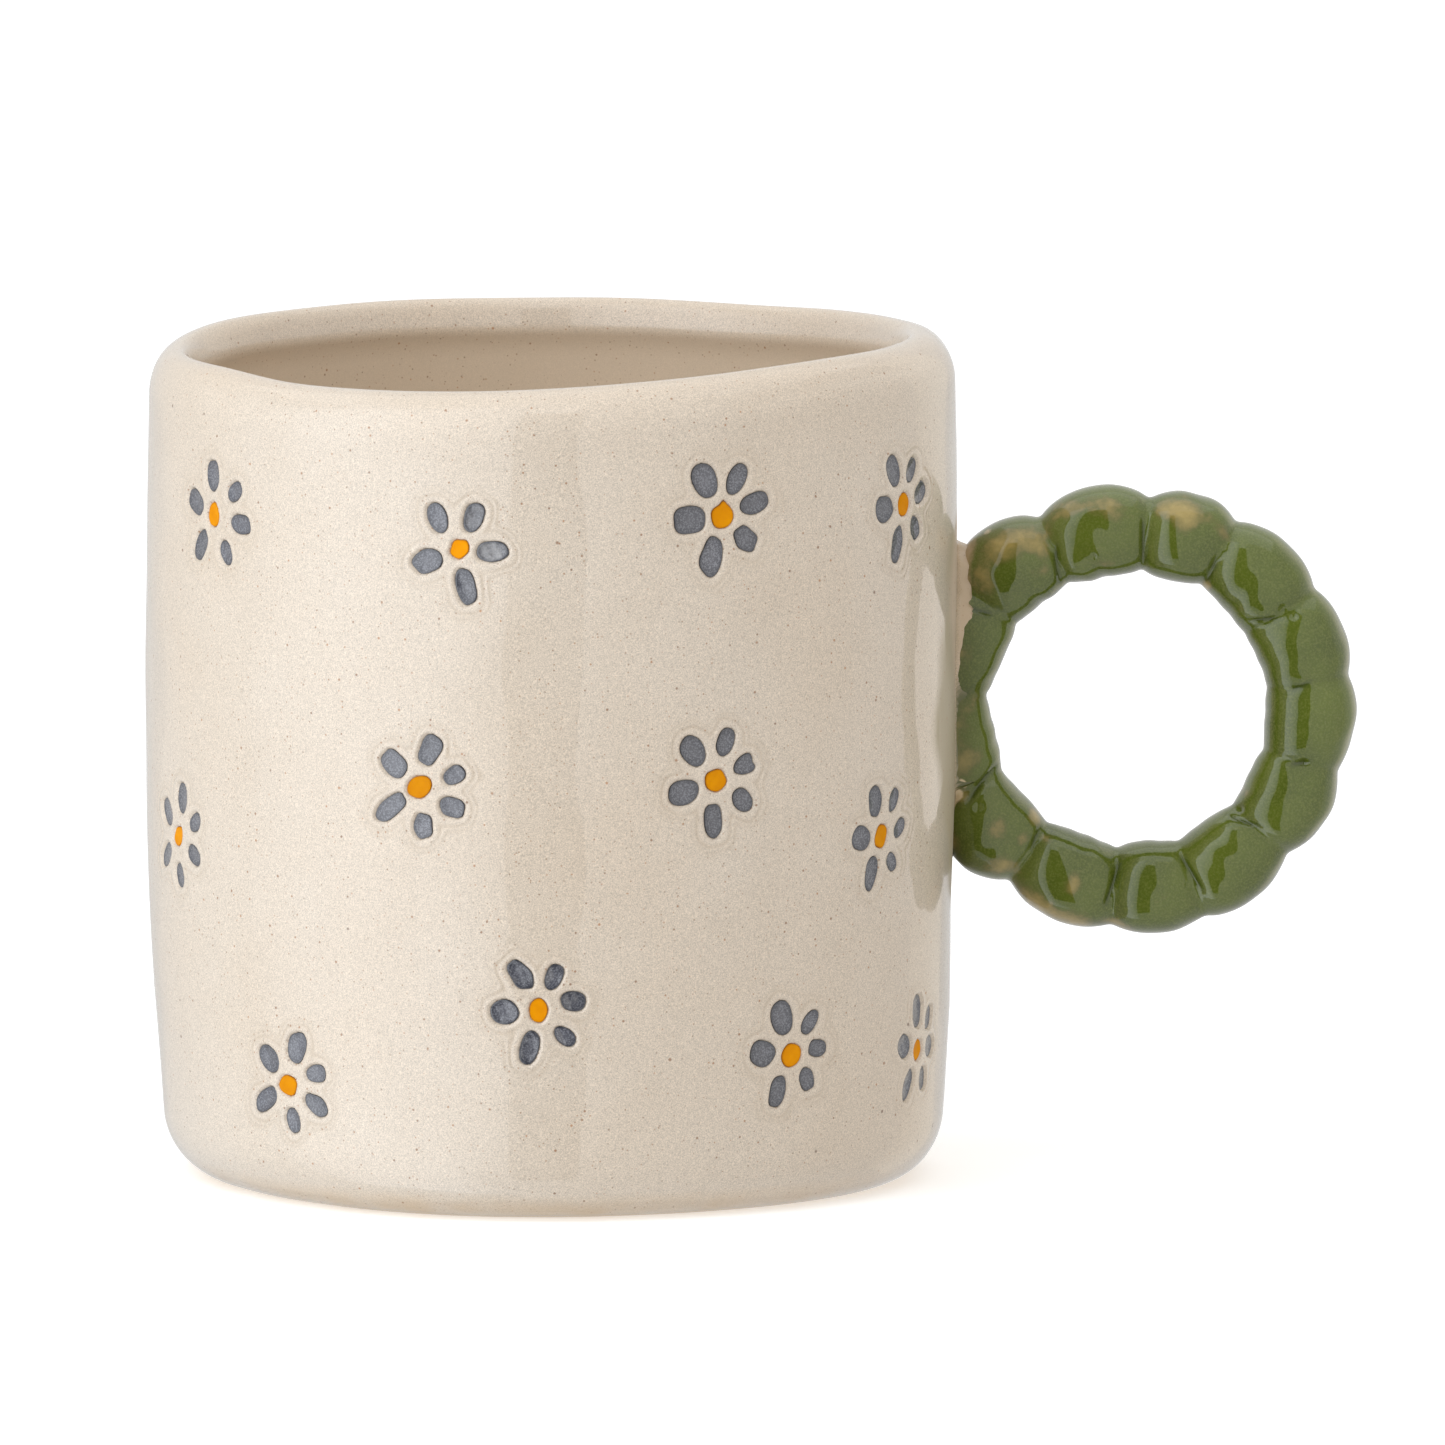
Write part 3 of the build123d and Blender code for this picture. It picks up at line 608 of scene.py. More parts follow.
# the ring is pressed on to the wall: what would stand inside the wall is flattened just under its surface
for _ in range(3):
    ph = np.arctan2(yy, np.maximum(hx, 1))
    wall_x = np.sqrt(np.maximum(wall_r(ph, hz) ** 2 - yy ** 2, 1))
limit = wall_x - 1.3
under = hx < limit
hx = np.where(under, limit - 0.25 * (1 - np.exp(-(limit - hx) / 2.0)), hx)
hv = np.stack([hx.ravel(), yy.ravel(), hz.ravel()], 1)
hf = []
for i in range(NT):
    k = (i + 1) % NT
    for j in range(NP):
        m = (j + 1) % NP
        hf.append((i * NP + j, i * NP + m, k * NP + m, k * NP + j))
handle = make_object("ring_handle_glazed", hv, hf)

# where the green glaze ran thin and the clay shows tan, and, in the broad patches from 150 to 197 degrees beside the
# wall, tan painted reflection of the cream wall: angle, across (0 inner, 1 outer), spread along, spread across,
# strength
THIN_GLAZE_AND_WALL_REFLECTION = [(126, 0.80, 2.6, 0.16, 1.0), (118, 0.62, 1.2, 0.20, 0.95), (137, 0.70, 1.5, 0.2, 0.7), (101, 0.86, 3.4, 0.10, 0.75), (93, 0.74, 1.5, 0.10, 0.45),
        (74, 0.76, 1.5, 0.17, 1.0), (79, 0.84, 1.6, 0.10, 0.6), (63, 0.80, 1.5, 0.12, 0.65), (58, 0.06, 0.9, 0.10, 1.25), (43, 0.14, 1.2, 0.12, 0.5),
        (232, 0.75, 2.4, 0.14, 0.75), (246, 0.90, 3.4, 0.12, 0.85), (256, 0.93, 3.0, 0.10, 0.80), (268, 0.90, 1.6, 0.10, 0.55), (253, 0.52, 1.1, 0.16, 1.10), (238, 0.18, 1.2, 0.10, 0.7),
        (215, 0.93, 1.8, 0.14, 0.95), (221, 0.40, 1.1, 0.14, 0.95), (230, 0.30, 0.9, 0.10, 0.7), (206, 0.60, 1.2, 0.12, 0.95), (281, 0.58, 0.9, 0.08, 0.35), (196, 0.35, 2.0, 0.2, 0.30), (150, 0.12, 1.0, 0.08, 0.35),
        (325, 0.04, 1.2, 0.07, 0.6), (229, 0.05, 1.4, 0.08, 1.0), (34, 0.05, 1.0, 0.06, 0.4), (174, 0.3, 2.0, 0.3, 0.45), (160, 0.55, 2.6, 0.35, 0.55), (186, 0.50, 2.4, 0.30, 0.70), (197, 0.45, 1.6, 0.25, 0.65), (150, 0.80, 1.8, 0.25, 0.60), (98, 0.20, 1.3, 0.08, 0.5), (121, 0.35, 1.6, 0.10, 0.5),
        (109, 0.93, 1.6, 0.10, 0.5), (88, 0.93, 1.6, 0.08, 0.4)]
thin_glaze_and_wall_reflection = np.zeros(theta.shape)
for a, ac, sa, sb, st in THIN_GLAZE_AND_WALL_REFLECTION:
    d = np.angle(np.exp(1j * (theta - radians(1) * a))) * 19.3
    e = (across - ac)
    thin_glaze_and_wall_reflection += st * np.exp(-(d / sa) ** 2 - (e / sb) ** 2)
back = yy > 0.5
thin_glaze_and_wall_reflection = np.where(back, thin_glaze_and_wall_reflection * (0.35 + 0.65 * np.sin(3 * theta + 1.0) ** 2), thin_glaze_and_wall_reflection)
add_attribute(handle, "thin_glaze_and_wall_reflection", np.clip(thin_glaze_and_wall_reflection, 0, 1.4).ravel())
cream = np.zeros(theta.shape)
for a, ac, sa, sb, st in [(205.5, 0.66, 0.75, 0.10, 1.1), (208.5, 0.80, 0.55, 0.09, 1.0), (203.0, 0.50, 0.8, 0.05, 0.8), (127.5, 0.97, 0.8, 0.05, 0.5)]:
    d = np.angle(np.exp(1j * (theta - radians(1) * a))) * 19.3
    cream += st * np.exp(-(d / sa) ** 2 - ((across - ac) / sb) ** 2) * (yy < 0)
add_attribute(handle, "cream", np.clip(cream, 0, 1.2).ravel())
add_attribute(handle, "mark", np.clip(mark_shade, 0, 1).ravel())
# deep: where painted shade goes on the ring close to the wall
add_attribute(handle, "deep", (np.exp(-((hx - 42.6) / 2.6) ** 2) * np.clip((63 - hz) / 5, 0, 1) * np.clip((hz - 25) / 6, 0, 1)).ravel())
add_attribute(handle, "crest", swl_s[T].ravel())
# slip smeared over the ring next to the wall
reach = np.interp(hz, [26, 30, 33, 37, 41, 51, 54, 57, 61, 66], [1.3, 0.9, 0.3, -0.6, -1.0, -1.0, -0.1, 0.7, 1.5, 2.2])
add_attribute(handle, "gap", (reach - (hx - wall_x)).ravel())


# ---- luting slip in the corner between ring and wall
def ring_distance(px, py, pz):
    dx, dz = px - RING_X, pz - RING_Z
    rh = np.hypot(dx, dz)
    a = np.degrees(np.arctan2(dz, dx)) % 360
    o = np.interp(a, np.append(th, 360), np.append(ro_s, ro_s[0]))
    i = np.interp(a, np.append(th, 360), np.append(ri_s, ri_s[0]))
    return np.hypot(rh - (o + i) / 2, py * 1.03) - (o - i) / 2


NY, NZ = 84, 200
ys = np.linspace(-8.6, 8.6, NY)
zs = np.linspace(24.0, 71.5, NZ)
Y, Z = np.meshgrid(ys, zs, indexing="ij")
ph = np.arctan2(Y, 42.0)
for _ in range(4):
    Rw = wall_r(ph, Z)
    X0 = np.sqrt(np.maximum(Rw ** 2 - Y ** 2, 1))
    ph = np.arctan2(Y, X0)
kk = np.interp(Z, [28, 32, 37, 50, 54, 59, 66], [1.6, 1.2, 0.15, 0.15, 0.9, 2.1, 3.0]) * (1 + 0.18 * np.sin(Z * 0.9 + 1.2) + 0.10 * np.sin(Z * 2.3 + 0.6 * Y))
steps = np.linspace(0, 3.0, 61)
height = np.zeros(Y.shape)
done = np.zeros(Y.shape, bool)
deepest = np.full(Y.shape, 9.0); deep_at = np.zeros(Y.shape)
for t in steps:
    a = t
    d = ring_distance(X0 + t, Y, Z)
    h = np.clip(0.5 + 0.5 * (d - a) / kk, 0, 1)
    f = d * (1 - h) + a * h - kk * h * (1 - h)
    newly = (~done) & (f > 0)
    height = np.where(newly, t, height)
    done |= newly
    better = d < deepest
    deepest = np.where(better, d, deepest); deep_at = np.where(better, t, deep_at)
height = np.where(done, height, np.minimum(deep_at, np.interp(Z, [51, 58], [0.3, 1.8])))
# never stand proud of the ring's own faces
for _ in range(3):
    pad = np.pad(height, 1, mode="edge")
    height = (pad[1:-1, 1:-1] * 4 + pad[:-2, 1:-1] + pad[2:, 1:-1] + pad[1:-1, :-2] + pad[1:-1, 2:]) / 8
rough = 0.05 * np.sin(1.9 * Z + 1.3 * Y) * np.sin(1.1 * Z - 2.2 * Y + 1) + 0.035 * np.sin(4.1 * Z + 2.7 * Y)
height = np.clip(height, 0, np.interp(Z, [50, 62], [2.2, 3.0])) - 0.10 + rough * np.clip(height, 0, 1)
rimfade = np.minimum(np.minimum(8.6 - np.abs(Y), 1.5) / 1.5, np.minimum(np.minimum(Z - 24.0, 71.5 - Z), 1.5) / 1.5)
height = np.where(rimfade < 1, np.minimum(height, -0.10 - 0.4 * (1 - rimfade)), height)
nrm = np.stack([np.cos(ph), np.sin(ph)], -1)
top = np.stack([X0 + height, Y, Z], -1).reshape(-1, 3)
low = np.stack([X0 - 1.6, Y, Z], -1).reshape(-1, 3)
sf = []
idn = lambda i, j: i * NZ + j
off = NY * NZ
for i in range(NY - 1):
    for j in range(NZ - 1):
        sf.append((idn(i, j), idn(i + 1, j), idn(i + 1, j + 1), idn(i, j + 1)))
        sf.append((off + idn(i, j), off + idn(i, j + 1), off + idn(i + 1, j + 1), off + idn(i + 1, j)))
for i in range(NY - 1):
    sf.append((idn(i, 0), off + idn(i, 0), off + idn(i + 1, 0), idn(i + 1, 0)))
    sf.append((idn(i + 1, NZ - 1), off + idn(i + 1, NZ - 1), off + idn(i, NZ - 1), idn(i, NZ - 1)))
for j in range(NZ - 1):
    sf.append((idn(0, j + 1), off + idn(0, j + 1), off + idn(0, j), idn(0, j)))
    sf.append((idn(NY - 1, j), off + idn(NY - 1, j), off + idn(NY - 1, j + 1), idn(NY - 1, j + 1)))
slip = make_object("handle_slip_smoothed", np.concatenate([top, low]), sf)
add_attribute(slip, "rise", np.concatenate([height.ravel(), np.zeros(off)]))
under_green = np.clip((53.5 - Z) / 3.0, 0, 1) * np.clip((Z - 29.0) / 3.0, 0, 1) * np.clip((height + 0.02) / 0.25, 0, 1)
add_attribute(slip, "green", np.concatenate([under_green.ravel(), np.zeros(off)]))


# ------------------------------------------------------------------ materials
def new_material(name):
    m = bpy.data.materials.new(name)
    m.use_nodes = True
    nt = m.node_tree
    nt.nodes.clear()
    out = nt.nodes.new("ShaderNodeOutputMaterial")
    bsdf = nt.nodes.new("ShaderNodeBsdfPrincipled")
    nt.links.new(bsdf.outputs[0], out.inputs[0])
    return m, nt, bsdf


def node(nt, kind, **kw):
    n = nt.nodes.new(kind)
    for k, val in kw.items():
        if k in n.inputs:
            n.inputs[k].default_value = val
        else:
            setattr(n, k, val)
    return n


def attr(nt, name):
    n = nt.nodes.new("ShaderNodeAttribute")
    n.attribute_name = name
    return n.outputs["Fac"]


def coords(nt):
    return nt.nodes.new("ShaderNodeTexCoord").outputs["Object"]


def noise(nt, vec, scale, detail=3.0, rough=0.55):
    n = nt.nodes.new("ShaderNodeTexNoise")
    n.inputs["Scale"].default_value = scale
    n.inputs["Detail"].default_value = detail
    n.inputs["Roughness"].default_value = rough
    nt.links.new(vec, n.inputs["Vector"])
    return n.outputs["Fac"]


def ramp(nt, fac, stops):
    n = nt.nodes.new("ShaderNodeValToRGB")
    e = n.color_ramp.elements
    while len(e) < len(stops):
        e.new(0.5)
    for el, (p, c) in zip(e, stops):
        el.position = p
        el.color = (c, c, c, 1) if isinstance(c, (int, float)) else (*c, 1)
    nt.links.new(fac, n.inputs["Fac"])
    return n.outputs["Color"]


def math(nt, op, a, b=None, clamp=False):
    n = nt.nodes.new("ShaderNodeMath")
    n.operation = op
    n.use_clamp = clamp
    for i, s in enumerate((a, b)):
        if s is None:
            continue
        if isinstance(s, (int, float)):
            n.inputs[i].default_value = s
        else:
            nt.links.new(s, n.inputs[i])
    return n.outputs[0]


def mix(nt, fac, a, b, mode="MIX"):
    n = nt.nodes.new("ShaderNodeMix")
    n.data_type = "RGBA"
    n.blend_type = mode
    for key, s in ((0, fac), (6, a), (7, b)):
        if isinstance(s, (int, float)):
            n.inputs[key].default_value = s
        elif isinstance(s, tuple):
            n.inputs[key].default_value = (*s, 1)
        else:
            nt.links.new(s, n.inputs[key])
    return n.outputs[2]


def specks(nt, vec, per_metre, size, seed_share):
    """Small dots: a cell pattern keeping only some cells' dots. size is the dot's radius in metres."""
    vn = nt.nodes.new("ShaderNodeTexVoronoi")
    vn.feature = "F1"
    vn.inputs["Scale"].default_value = per_metre
    vn.inputs["Randomness"].default_value = 1.0
    nt.links.new(vec, vn.inputs["Vector"])
    sep = nt.nodes.new("ShaderNodeSeparateColor")
    nt.links.new(vn.outputs["Color"], sep.inputs[0])
    keep = math(nt, "LESS_THAN", sep.outputs[0], seed_share)
    # dot radius varies from cell to cell
    rad = math(nt, "MULTIPLY_ADD", sep.outputs[1], 0.9 * size * per_metre)
    rad.node.inputs[2].default_value = 0.35 * size * per_metre
    inside_dot = math(nt, "SUBTRACT", rad, vn.outputs["Distance"])
    soft = math(nt, "MULTIPLY", inside_dot, 1.6 / (size * per_metre), clamp=True)
    soft.node.use_clamp = True
    return math(nt, "MULTIPLY", soft, keep), sep.outputs[2]


def glaze(nt, bsdf, roughness, coat_rough, height=None, distance=0.00002, strength=0.3):
    bsdf.inputs["Roughness"].default_value = roughness
    bsdf.inputs["Specular IOR Level"].default_value = 0.25
    bsdf.inputs["Coat Weight"].default_value = 1.0
    bsdf.inputs["Coat Roughness"].default_value = coat_rough
    bsdf.inputs["Coat IOR"].default_value = 1.55
    if height is not None:
        b = nt.nodes.new("ShaderNodeBump")
        b.inputs["Distance"].default_value = distance
        b.inputs["Strength"].default_value = strength
        nt.links.new(height, b.inputs["Height"])
        nt.links.new(b.outputs[0], bsdf.inputs["Normal"])
        nt.links.new(b.outputs[0], bsdf.inputs["Coat Normal"])


def clay_colour(nt, vec, base, warm, grain=1.0):
    """Speckled clay under clear glaze."""
    cloud = noise(nt, vec, 38, 3, 0.6)
    fine_n = noise(nt, vec, 7600, 1, 0.6)
    mid_n = noise(nt, vec, 2300, 2, 0.6)
    slow_n = noise(nt, vec, 260, 2, 0.5)
    col = mix(nt, ramp(nt, cloud, [(0.35, 0.0), (0.75, 1.0)]), base, warm)
    gg = None
    for n_out, amount in ((fine_n, 1.00), (mid_n, 0.20), (slow_n, 0.04)):
        g = math(nt, "MULTIPLY_ADD", n_out, amount * grain)
        g.node.inputs[2].default_value = 1.0 - 0.5 * amount * grain
        gg = g if gg is None else math(nt, "MULTIPLY", gg, g)
    comb = nt.nodes.new("ShaderNodeCombineColor")
    for k in range(3):
        nt.links.new(gg, comb.inputs[k])
    col = mix(nt, 1.0, col, comb.outputs[0], "MULTIPLY")
    return col


def with_specks(nt, vec, col):
    # rust-brown, dark and pale grains of the clay body
    a, tint = specks(nt, vec, 950, 0.00015, 0.85)
    col = mix(nt, math(nt, "MULTIPLY", a, 0.88), col, mix(nt, tint, (0.24, 0.13, 0.07), (0.50, 0.26, 0.13)))
    b, tint = specks(nt, vec, 1900, 0.00011, 0.85)
    col = mix(nt, math(nt, "MULTIPLY", b, 0.75), col, mix(nt, tint, (0.30, 0.20, 0.13), (0.52, 0.30, 0.18)))
    c, tint = specks(nt, vec, 330, 0.00020, 0.50)
    col = mix(nt, math(nt, "MULTIPLY", c, 0.80), col, mix(nt, tint, (0.14, 0.08, 0.05), (0.38, 0.17, 0.07)))
    return col


CLAY = (0.690, 0.598, 0.495)
CLAY_WARM = (0.668, 0.562, 0.447)

m_clay, nt, bsdf = new_material("clear_glaze_over_speckled_clay")
vec = coords(nt)
col = clay_colour(nt, vec, CLAY, CLAY_WARM)
# inside, below the lip's crease, the wall and floor are painted a darker tan: painted shade under the lip
col = mix(nt, math(nt, "MULTIPLY", attr(nt, "inside"), 0.75), col, mix(nt, noise(nt, vec, 60, 3), (0.66, 0.53, 0.385), (0.69, 0.565, 0.42)))
# warm edge over the lip, warmer still above the foot where the glaze stops
edge_n = noise(nt, vec, 210, 3, 0.6)
lipw = math(nt, "MULTIPLY", attr(nt, "lip"), math(nt, "MULTIPLY", edge_n, 0.34))
col = mix(nt, lipw, col, (0.64, 0.51, 0.37))
footw = math(nt, "MULTIPLY", attr(nt, "foot"), math(nt, "MULTIPLY", edge_n, 1.7), clamp=True)
col = mix(nt, footw, col, (0.63, 0.43, 0.23))
col = mix(nt, math(nt, "MULTIPLY", attr(nt, "pocket"), 0.22), col, (0.58, 0.48, 0.37))
# painted shade along the stamp's grooves
col = mix(nt, math(nt, "MULTIPLY", attr(nt, "stamp"), 0.42), col, (0.52, 0.415, 0.30))
mapped = nt.nodes.new("ShaderNodeMapping")
mapped.inputs["Scale"].default_value = (1.0, 1.0, 0.10)
nt.links.new(vec, mapped.inputs["Vector"])
streak = noise(nt, mapped.outputs[0], 900, 3, 0.65)
smear_n = math(nt, "ADD", attr(nt, "smear"), math(nt, "MULTIPLY_ADD", noise(nt, vec, 130, 4, 0.6), 0.6))
smear_n.node.inputs[1].links[0].from_node.inputs[2].default_value = -0.30
smear = math(nt, "MULTIPLY", ramp(nt, smear_n, [(0.22, 0.0), (0.80, 1.0)]), ramp(nt, streak, [(0.34, 0.80), (0.56, 1.0)]))
col = mix(nt, smear, col, mix(nt, attr(nt, "pale"), (0.475, 0.410, 0.288), (0.665, 0.545, 0.42)))
col = with_specks(nt, vec, col)
bare = attr(nt, "bare")
col = mix(nt, bare, col, mix(nt, noise(nt, vec, 700, 3), (0.58, 0.42, 0.26), (0.68, 0.53, 0.37)))
nt.links.new(col, bsdf.inputs["Base Color"])
peel = math(nt, "ADD", noise(nt, vec, 170, 2, 0.5), math(nt, "MULTIPLY", noise(nt, vec, 1500, 2, 0.5), 0.10))
glaze(nt, bsdf, 0.5, 0.024, peel, 0.00002, 0.12)
# the foot is wiped free of glaze
bare_r = math(nt, "MULTIPLY", bare, 0.25)
rough_in = math(nt, "ADD", bare_r, 0.5)
nt.links.new(rough_in, bsdf.inputs["Roughness"])
shine = math(nt, "SUBTRACT", math(nt, "SUBTRACT", 1.0, math(nt, "MULTIPLY", smear, 0.97)), bare, clamp=True)
nt.links.new(shine, bsdf.inputs["Coat Weight"])

m_slip, nt, bsdf = new_material("cream_slip_under_glaze")
vec = coords(nt)
col = clay_colour(nt, vec, (0.56, 0.45, 0.33), (0.60, 0.46, 0.32), 1.2)
col = mix(nt, ramp(nt, attr(nt, "rise"), [(0.05, 0.0), (0.6, 1.0)]), col, mix(nt, noise(nt, vec, 300, 3), (0.46, 0.34, 0.20), (0.60, 0.47, 0.33)))
col = with_specks(nt, vec, col)
# the ring's green glaze has run over it low down
col = mix(nt, attr(nt, "green"), col, mix(nt, noise(nt, vec, 330, 4, 0.65), (0.060, 0.075, 0.008), (0.115, 0.110, 0.022)))
nt.links.new(col, bsdf.inputs["Base Color"])
glaze(nt, bsdf, 0.5, 0.09, noise(nt, vec, 420, 3, 0.55), 0.00006, 0.35)

m_petal, nt, bsdf = new_material("grey_blue_underglaze")
vec = coords(nt)
grain_n = noise(nt, vec, 5800, 1, 0.65)
blotch = noise(nt, vec, 420, 3, 0.6)
blue = mix(nt, ramp(nt, blotch, [(0.30, 0.0), (0.72, 1.0)]), (0.039, 0.041, 0.056), (0.060, 0.063, 0.081))
# lighter towards each petal's middle: painted highlight, as if the petal were domed
blue = mix(nt, ramp(nt, attr(nt, "edge"), [(0.20, 0.55), (0.85, 0.0)]), blue, (0.128, 0.130, 0.150))
blue = mix(nt, ramp(nt, grain_n, [(0.46, 0.0), (0.61, 0.90)]), blue, (0.195, 0.199, 0.226))
tone = attr(nt, "tone")
tn = math(nt, "MULTIPLY_ADD", tone, 0.07)
tn.node.inputs[2].default_value = 1.0
comb = nt.nodes.new("ShaderNodeCombineColor")
for k in range(3):
    nt.links.new(tn, comb.inputs[k])
blue = mix(nt, 1.0, blue, comb.outputs[0], "MULTIPLY")
# worn dabs let the clay through in streaks
worn_n = ramp(nt, noise(nt, vec, 520, 4, 0.7), [(0.40, 0.25), (0.62, 1.0)])
worn_f = math(nt, "MULTIPLY", attr(nt, "worn"), math(nt, "MULTIPLY", worn_n, 0.62), clamp=True)
blue = mix(nt, worn_f, blue, (0.42, 0.41, 0.40))
# darker at each petal's edge: partly pigment gathered at the brush's edge, partly painted shade at the rim of its
# pocket
edge = ramp(nt, attr(nt, "edge"), [(0.72, 0.0), (0.97, 0.80)])
blue = mix(nt, edge, blue, (0.044, 0.047, 0.062))
nt.links.new(blue, bsdf.inputs["Base Color"])
glaze(nt, bsdf, 0.55, 0.12, math(nt, "ADD", blotch, math(nt, "MULTIPLY", grain_n, 0.3)), 0.00006, 0.35)
bsdf.inputs["Coat IOR"].default_value = 1.80

m_dot, nt, bsdf = new_material("orange_yellow_underglaze")
vec = coords(nt)
blotch = noise(nt, vec, 500, 3, 0.6)
oran = mix(nt, ramp(nt, blotch, [(0.32, 0.0), (0.70, 1.0)]), (0.70, 0.245, 0.000), (0.82, 0.325, 0.000))
tn = math(nt, "MULTIPLY_ADD", attr(nt, "tone"), 0.05)
tn.node.inputs[2].default_value = 1.0
comb = nt.nodes.new("ShaderNodeCombineColor")
for k in range(3):
    nt.links.new(tn, comb.inputs[k])
oran = mix(nt, 1.0, oran, comb.outputs[0], "MULTIPLY")
edge = ramp(nt, attr(nt, "edge"), [(0.82, 0.0), (1.0, 0.6)])
oran = mix(nt, edge, oran, (0.50, 0.17, 0.004))
nt.links.new(oran, bsdf.inputs["Base Color"])
glaze(nt, bsdf, 0.5, 0.10, blotch, 0.00005, 0.3)
bsdf.inputs["Coat Weight"].default_value = 0.06
bsdf.inputs["Specular IOR Level"].default_value = 0.05

m_green, nt, bsdf = new_material("green_glaze")
vec = coords(nt)
cloud = noise(nt, vec, 120, 4, 0.6)
grain_n = noise(nt, vec, 4600, 2, 0.6)
green = mix(nt, ramp(nt, cloud, [(0.32, 0.0), (0.70, 1.0)]), (0.064, 0.092, 0.003), (0.108, 0.144, 0.010))
green = mix(nt, ramp(nt, grain_n, [(0.44, 0.0), (0.70, 0.75)]), green, (0.165, 0.188, 0.036))
# glaze runs thin and tan over some high spots, with ragged edges; beside the wall the same tan is a painted reflection
# of the cream wall
ragged = noise(nt, vec, 330, 5, 0.68)
tan_glaze_and_reflection_f = math(nt, "ADD", attr(nt, "thin_glaze_and_wall_reflection"), math(nt, "MULTIPLY_ADD", ragged, 1.9))
tan_glaze_and_reflection_f.node.inputs[1].links[0].from_node.inputs[2].default_value = -1.18
tan_glaze_and_reflection_c = ramp(nt, tan_glaze_and_reflection_f, [(0.30, 0.0), (0.95, 1.0)])
tan = mix(nt, noise(nt, vec, 900, 3), (0.33, 0.235, 0.055), (0.50, 0.38, 0.13))
half = mix(nt, ramp(nt, tan_glaze_and_reflection_f, [(0.10, 0.0), (0.45, 0.8)]), green, (0.150, 0.135, 0.032))
green = mix(nt, math(nt, "MULTIPLY", tan_glaze_and_reflection_c, 0.85), half, tan)
# by the wall the green is painted darker: painted shade where the ring meets the wall
green = mix(nt, math(nt, "MULTIPLY", attr(nt, "deep"), math(nt, "MULTIPLY", ramp(nt, cloud, [(0.3, 0.55), (0.7, 1.0)]), 0.45)), green, (0.062, 0.066, 0.006))
# and pools dark in the pinch marks
green = mix(nt, math(nt, "MULTIPLY", attr(nt, "mark"), 0.65), green, (0.022, 0.036, 0.008))
# clay shows where the ring meets the slip
gapn = math(nt, "ADD", attr(nt, "gap"), math(nt, "MULTIPLY_ADD", ragged, 1.4))
gapn.node.inputs[1].links[0].from_node.inputs[2].default_value = -0.7
green = mix(nt, ramp(nt, gapn, [(0.0, 0.0), (0.75, 0.85)]), green, mix(nt, ragged, (0.40, 0.28, 0.13), (0.56, 0.42, 0.27)))
cream_f = math(nt, "ADD", attr(nt, "cream"), math(nt, "MULTIPLY_ADD", ragged, 0.8))
cream_f.node.inputs[1].links[0].from_node.inputs[2].default_value = -0.40
green = mix(nt, ramp(nt, cream_f, [(0.42, 0.0), (0.62, 0.9)]), green, (0.66, 0.52, 0.32))
nt.links.new(green, bsdf.inputs["Base Color"])
peel = math(nt, "ADD", noise(nt, vec, 380, 3, 0.55), math(nt, "MULTIPLY", ragged, 0.4))
glaze(nt, bsdf, 0.45, 0.045, peel, 0.00004, 0.20)
bsdf.inputs["Coat IOR"].default_value = 1.62
bsdf.inputs["Specular IOR Level"].default_value = 0.12
# next to the wall the shine is dulled by slip and haze
dull = math(nt, "SUBTRACT", 1.0, math(nt, "MULTIPLY", attr(nt, "deep"), 0.45), clamp=True)
nt.links.new(dull, bsdf.inputs["Coat Weight"])

# ------------------------------------------------------------------ fitting the pieces to the frame
for ob, mat, node_name, slot in [(cup, m_clay, "cup_body", "body_glaze"), (handle, m_green, "handle_ring", "handle_glaze"), (slip, m_slip, "handle_slip", "slip_clay")]:
    ob.data.materials.append(mat)
    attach(ob, "root")
    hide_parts(node_name)
for (row, kind), ob in colour.items():
    ob.data.materials.append(m_petal if kind == "petals" else m_dot)
    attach(ob, "root")
    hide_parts(f"{row}_row_{kind}")

# ------------------------------------------------------------------ floor, light and camera
def stage_plane(name, size, loc, rot=(0, 0, 0), colour=(0.9, 0.9, 0.9), emit=0.0):
    bpy.ops.mesh.primitive_plane_add(size=1, location=loc, rotation=rot)
    ob = bpy.context.object
    ob.name = name
    ob.scale = (size[0], size[1], 1)
    m, nt, bsdf = new_material(name + "_material")
    bsdf.inputs["Base Color"].default_value = (*colour, 1)
    bsdf.inputs["Roughness"].default_value = 0.9
    bsdf.inputs["Specular IOR Level"].default_value = 0.0
    if emit:
        bsdf.inputs["Emission Color"].default_value = (1, 1, 1, 1)
        bsdf.inputs["Emission Strength"].default_value = emit
    ob.data.materials.append(m)
    ob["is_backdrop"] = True
    return ob


WORLD = 0.76
floor = stage_plane("floor", (60, 60), (0, 0, 0), colour=(0.86, 0.86, 0.855), emit=0.42)
floor.visible_glossy = False
floor.visible_diffuse = False


world = bpy.data.worlds.new("studio")
bpy.context.scene.world = world
world.use_nodes = True
world.node_tree.nodes["Background"].inputs["Color"].default_value = (1.0, 0.995, 0.985, 1)
world.node_tree.nodes["Background"].inputs["Strength"].default_value = WORLD


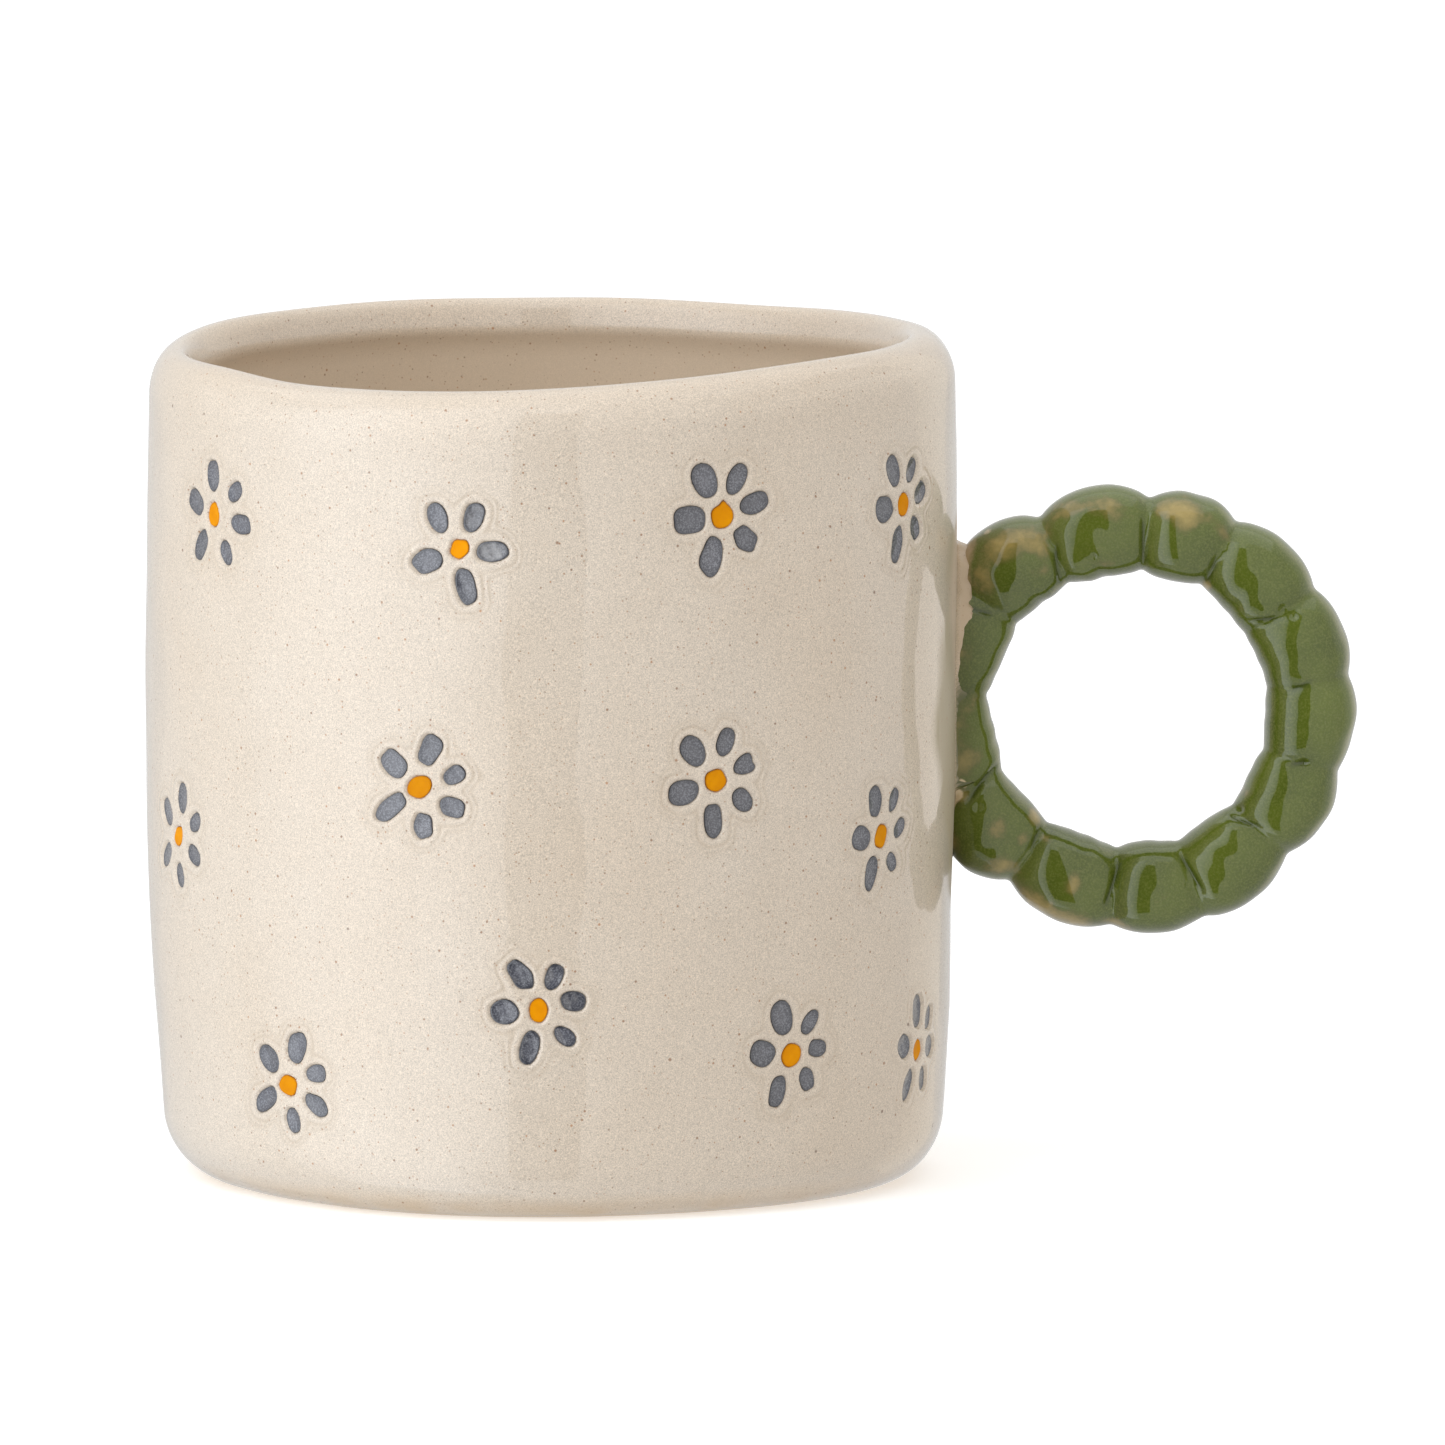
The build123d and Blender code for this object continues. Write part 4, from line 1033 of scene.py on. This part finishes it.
def glowing_panel(name, edge, direction, width, low, high, stops, colour=(1, 1, 1)):
    """An upright soft box from edge along direction; stops give its brightness along the way."""
    n = 48
    d = Vector((direction[0], direction[1], 0)).normalized()
    vs, fs = [], []
    for i in range(n + 1):
        p = Vector((edge[0], edge[1], 0)) + d * width * i / n
        vs += [(p.x, p.y, low), (p.x, p.y, high)]
    for i in range(n):
        fs.append((2 * i, 2 * i + 2, 2 * i + 3, 2 * i + 1))
    mesh = bpy.data.meshes.new(name)
    mesh.from_pydata(vs, [], fs)
    mesh.update()
    at = mesh.attributes.new("glow", "FLOAT", "POINT")
    at.data.foreach_set("value", [float(np.interp(i / n, [q[0] for q in stops], [q[1] for q in stops])) for i in range(n + 1) for _ in (0, 1)])
    ob = bpy.data.objects.new(name, mesh)
    bpy.context.scene.collection.objects.link(ob)
    m = bpy.data.materials.new(name + "_light")
    m.use_nodes = True
    nt = m.node_tree
    nt.nodes.clear()
    out = nt.nodes.new("ShaderNodeOutputMaterial")
    em = nt.nodes.new("ShaderNodeEmission")
    em.inputs["Color"].default_value = (*colour, 1)
    nt.links.new(attr(nt, "glow"), em.inputs["Strength"])
    nt.links.new(em.outputs[0], out.inputs[0])
    mesh.materials.append(m)
    ob.visible_camera = False
    ob.visible_shadow = False
    ob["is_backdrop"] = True
    return ob


# a long soft box on the left, whose near edge stands close to the camera's line of sight
glowing_panel("soft_box_left", (-0.034, -0.217), (-0.86, 0.30), 0.85, -0.45, 0.55,
              [(0.0, 0.80), (0.035, 1.30), (0.11, 1.80), (0.23, 1.92), (0.39, 1.62), (0.6, 1.15), (1.0, 0.75)], (0.950, 0.982, 1.02))
# a dimmer one on the right
glowing_panel("soft_box_right", (0.049, -0.252), (0.90, 0.20), 0.85, -0.45, 0.55,
              [(0.0, 0.93), (0.10, 0.88), (0.5, 0.76), (1.0, 0.64)], (1.0, 0.98, 0.95))
# a pale screen behind on the right, seen in the glaze just before the wall turns away
glowing_panel("screen_right", (0.553, 0.290), (-0.16, 0.30), 0.36, -0.45, 0.55,
              [(0.0, 0.98), (0.5, 1.05), (1.0, 0.98)], (1.0, 0.95, 0.87))
# the dark gap between them, where the camera stands
dark = stage_plane("camera_gap", (0.108, 0.52), (-0.001, -0.236, 0.07), rot=(pi / 2, 0, atan2(-0.041, 0.100)), colour=(0.01, 0.01, 0.01))
dark.visible_camera = False
dark.visible_diffuse = False
dark.visible_shadow = False

# a broad overhead box
top_light = stage_plane("soft_box_above", (1.1, 1.1), (0.0, -0.05, 0.75), rot=(pi, 0, 0), colour=(0.0, 0.0, 0.0), emit=1.18)
top_light.visible_camera = False

D, ELEV = 2.0, radians(7.18)
look = Vector((0, cos(ELEV), -sin(ELEV)))
up = Vector((0, sin(ELEV), cos(ELEV)))
cam_data = bpy.data.cameras.new("camera")
cam = bpy.data.objects.new("camera", cam_data)
bpy.context.scene.collection.objects.link(cam)
cam.location = Vector((0, 0, 0.044)) - look * D + Vector((0.01798, 0, 0)) + up * 0.00325
cam.rotation_euler = look.to_track_quat("-Z", "Y").to_euler()
cam_data.sensor_width = 36.0
cam_data.lens = 473.26
cam_data.clip_start = 0.1
cam_data.clip_end = 100
cam_data.dof.use_dof = False
bpy.context.scene.camera = cam
bpy.context.scene.view_settings.view_transform = "Standard"

lo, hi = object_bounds()
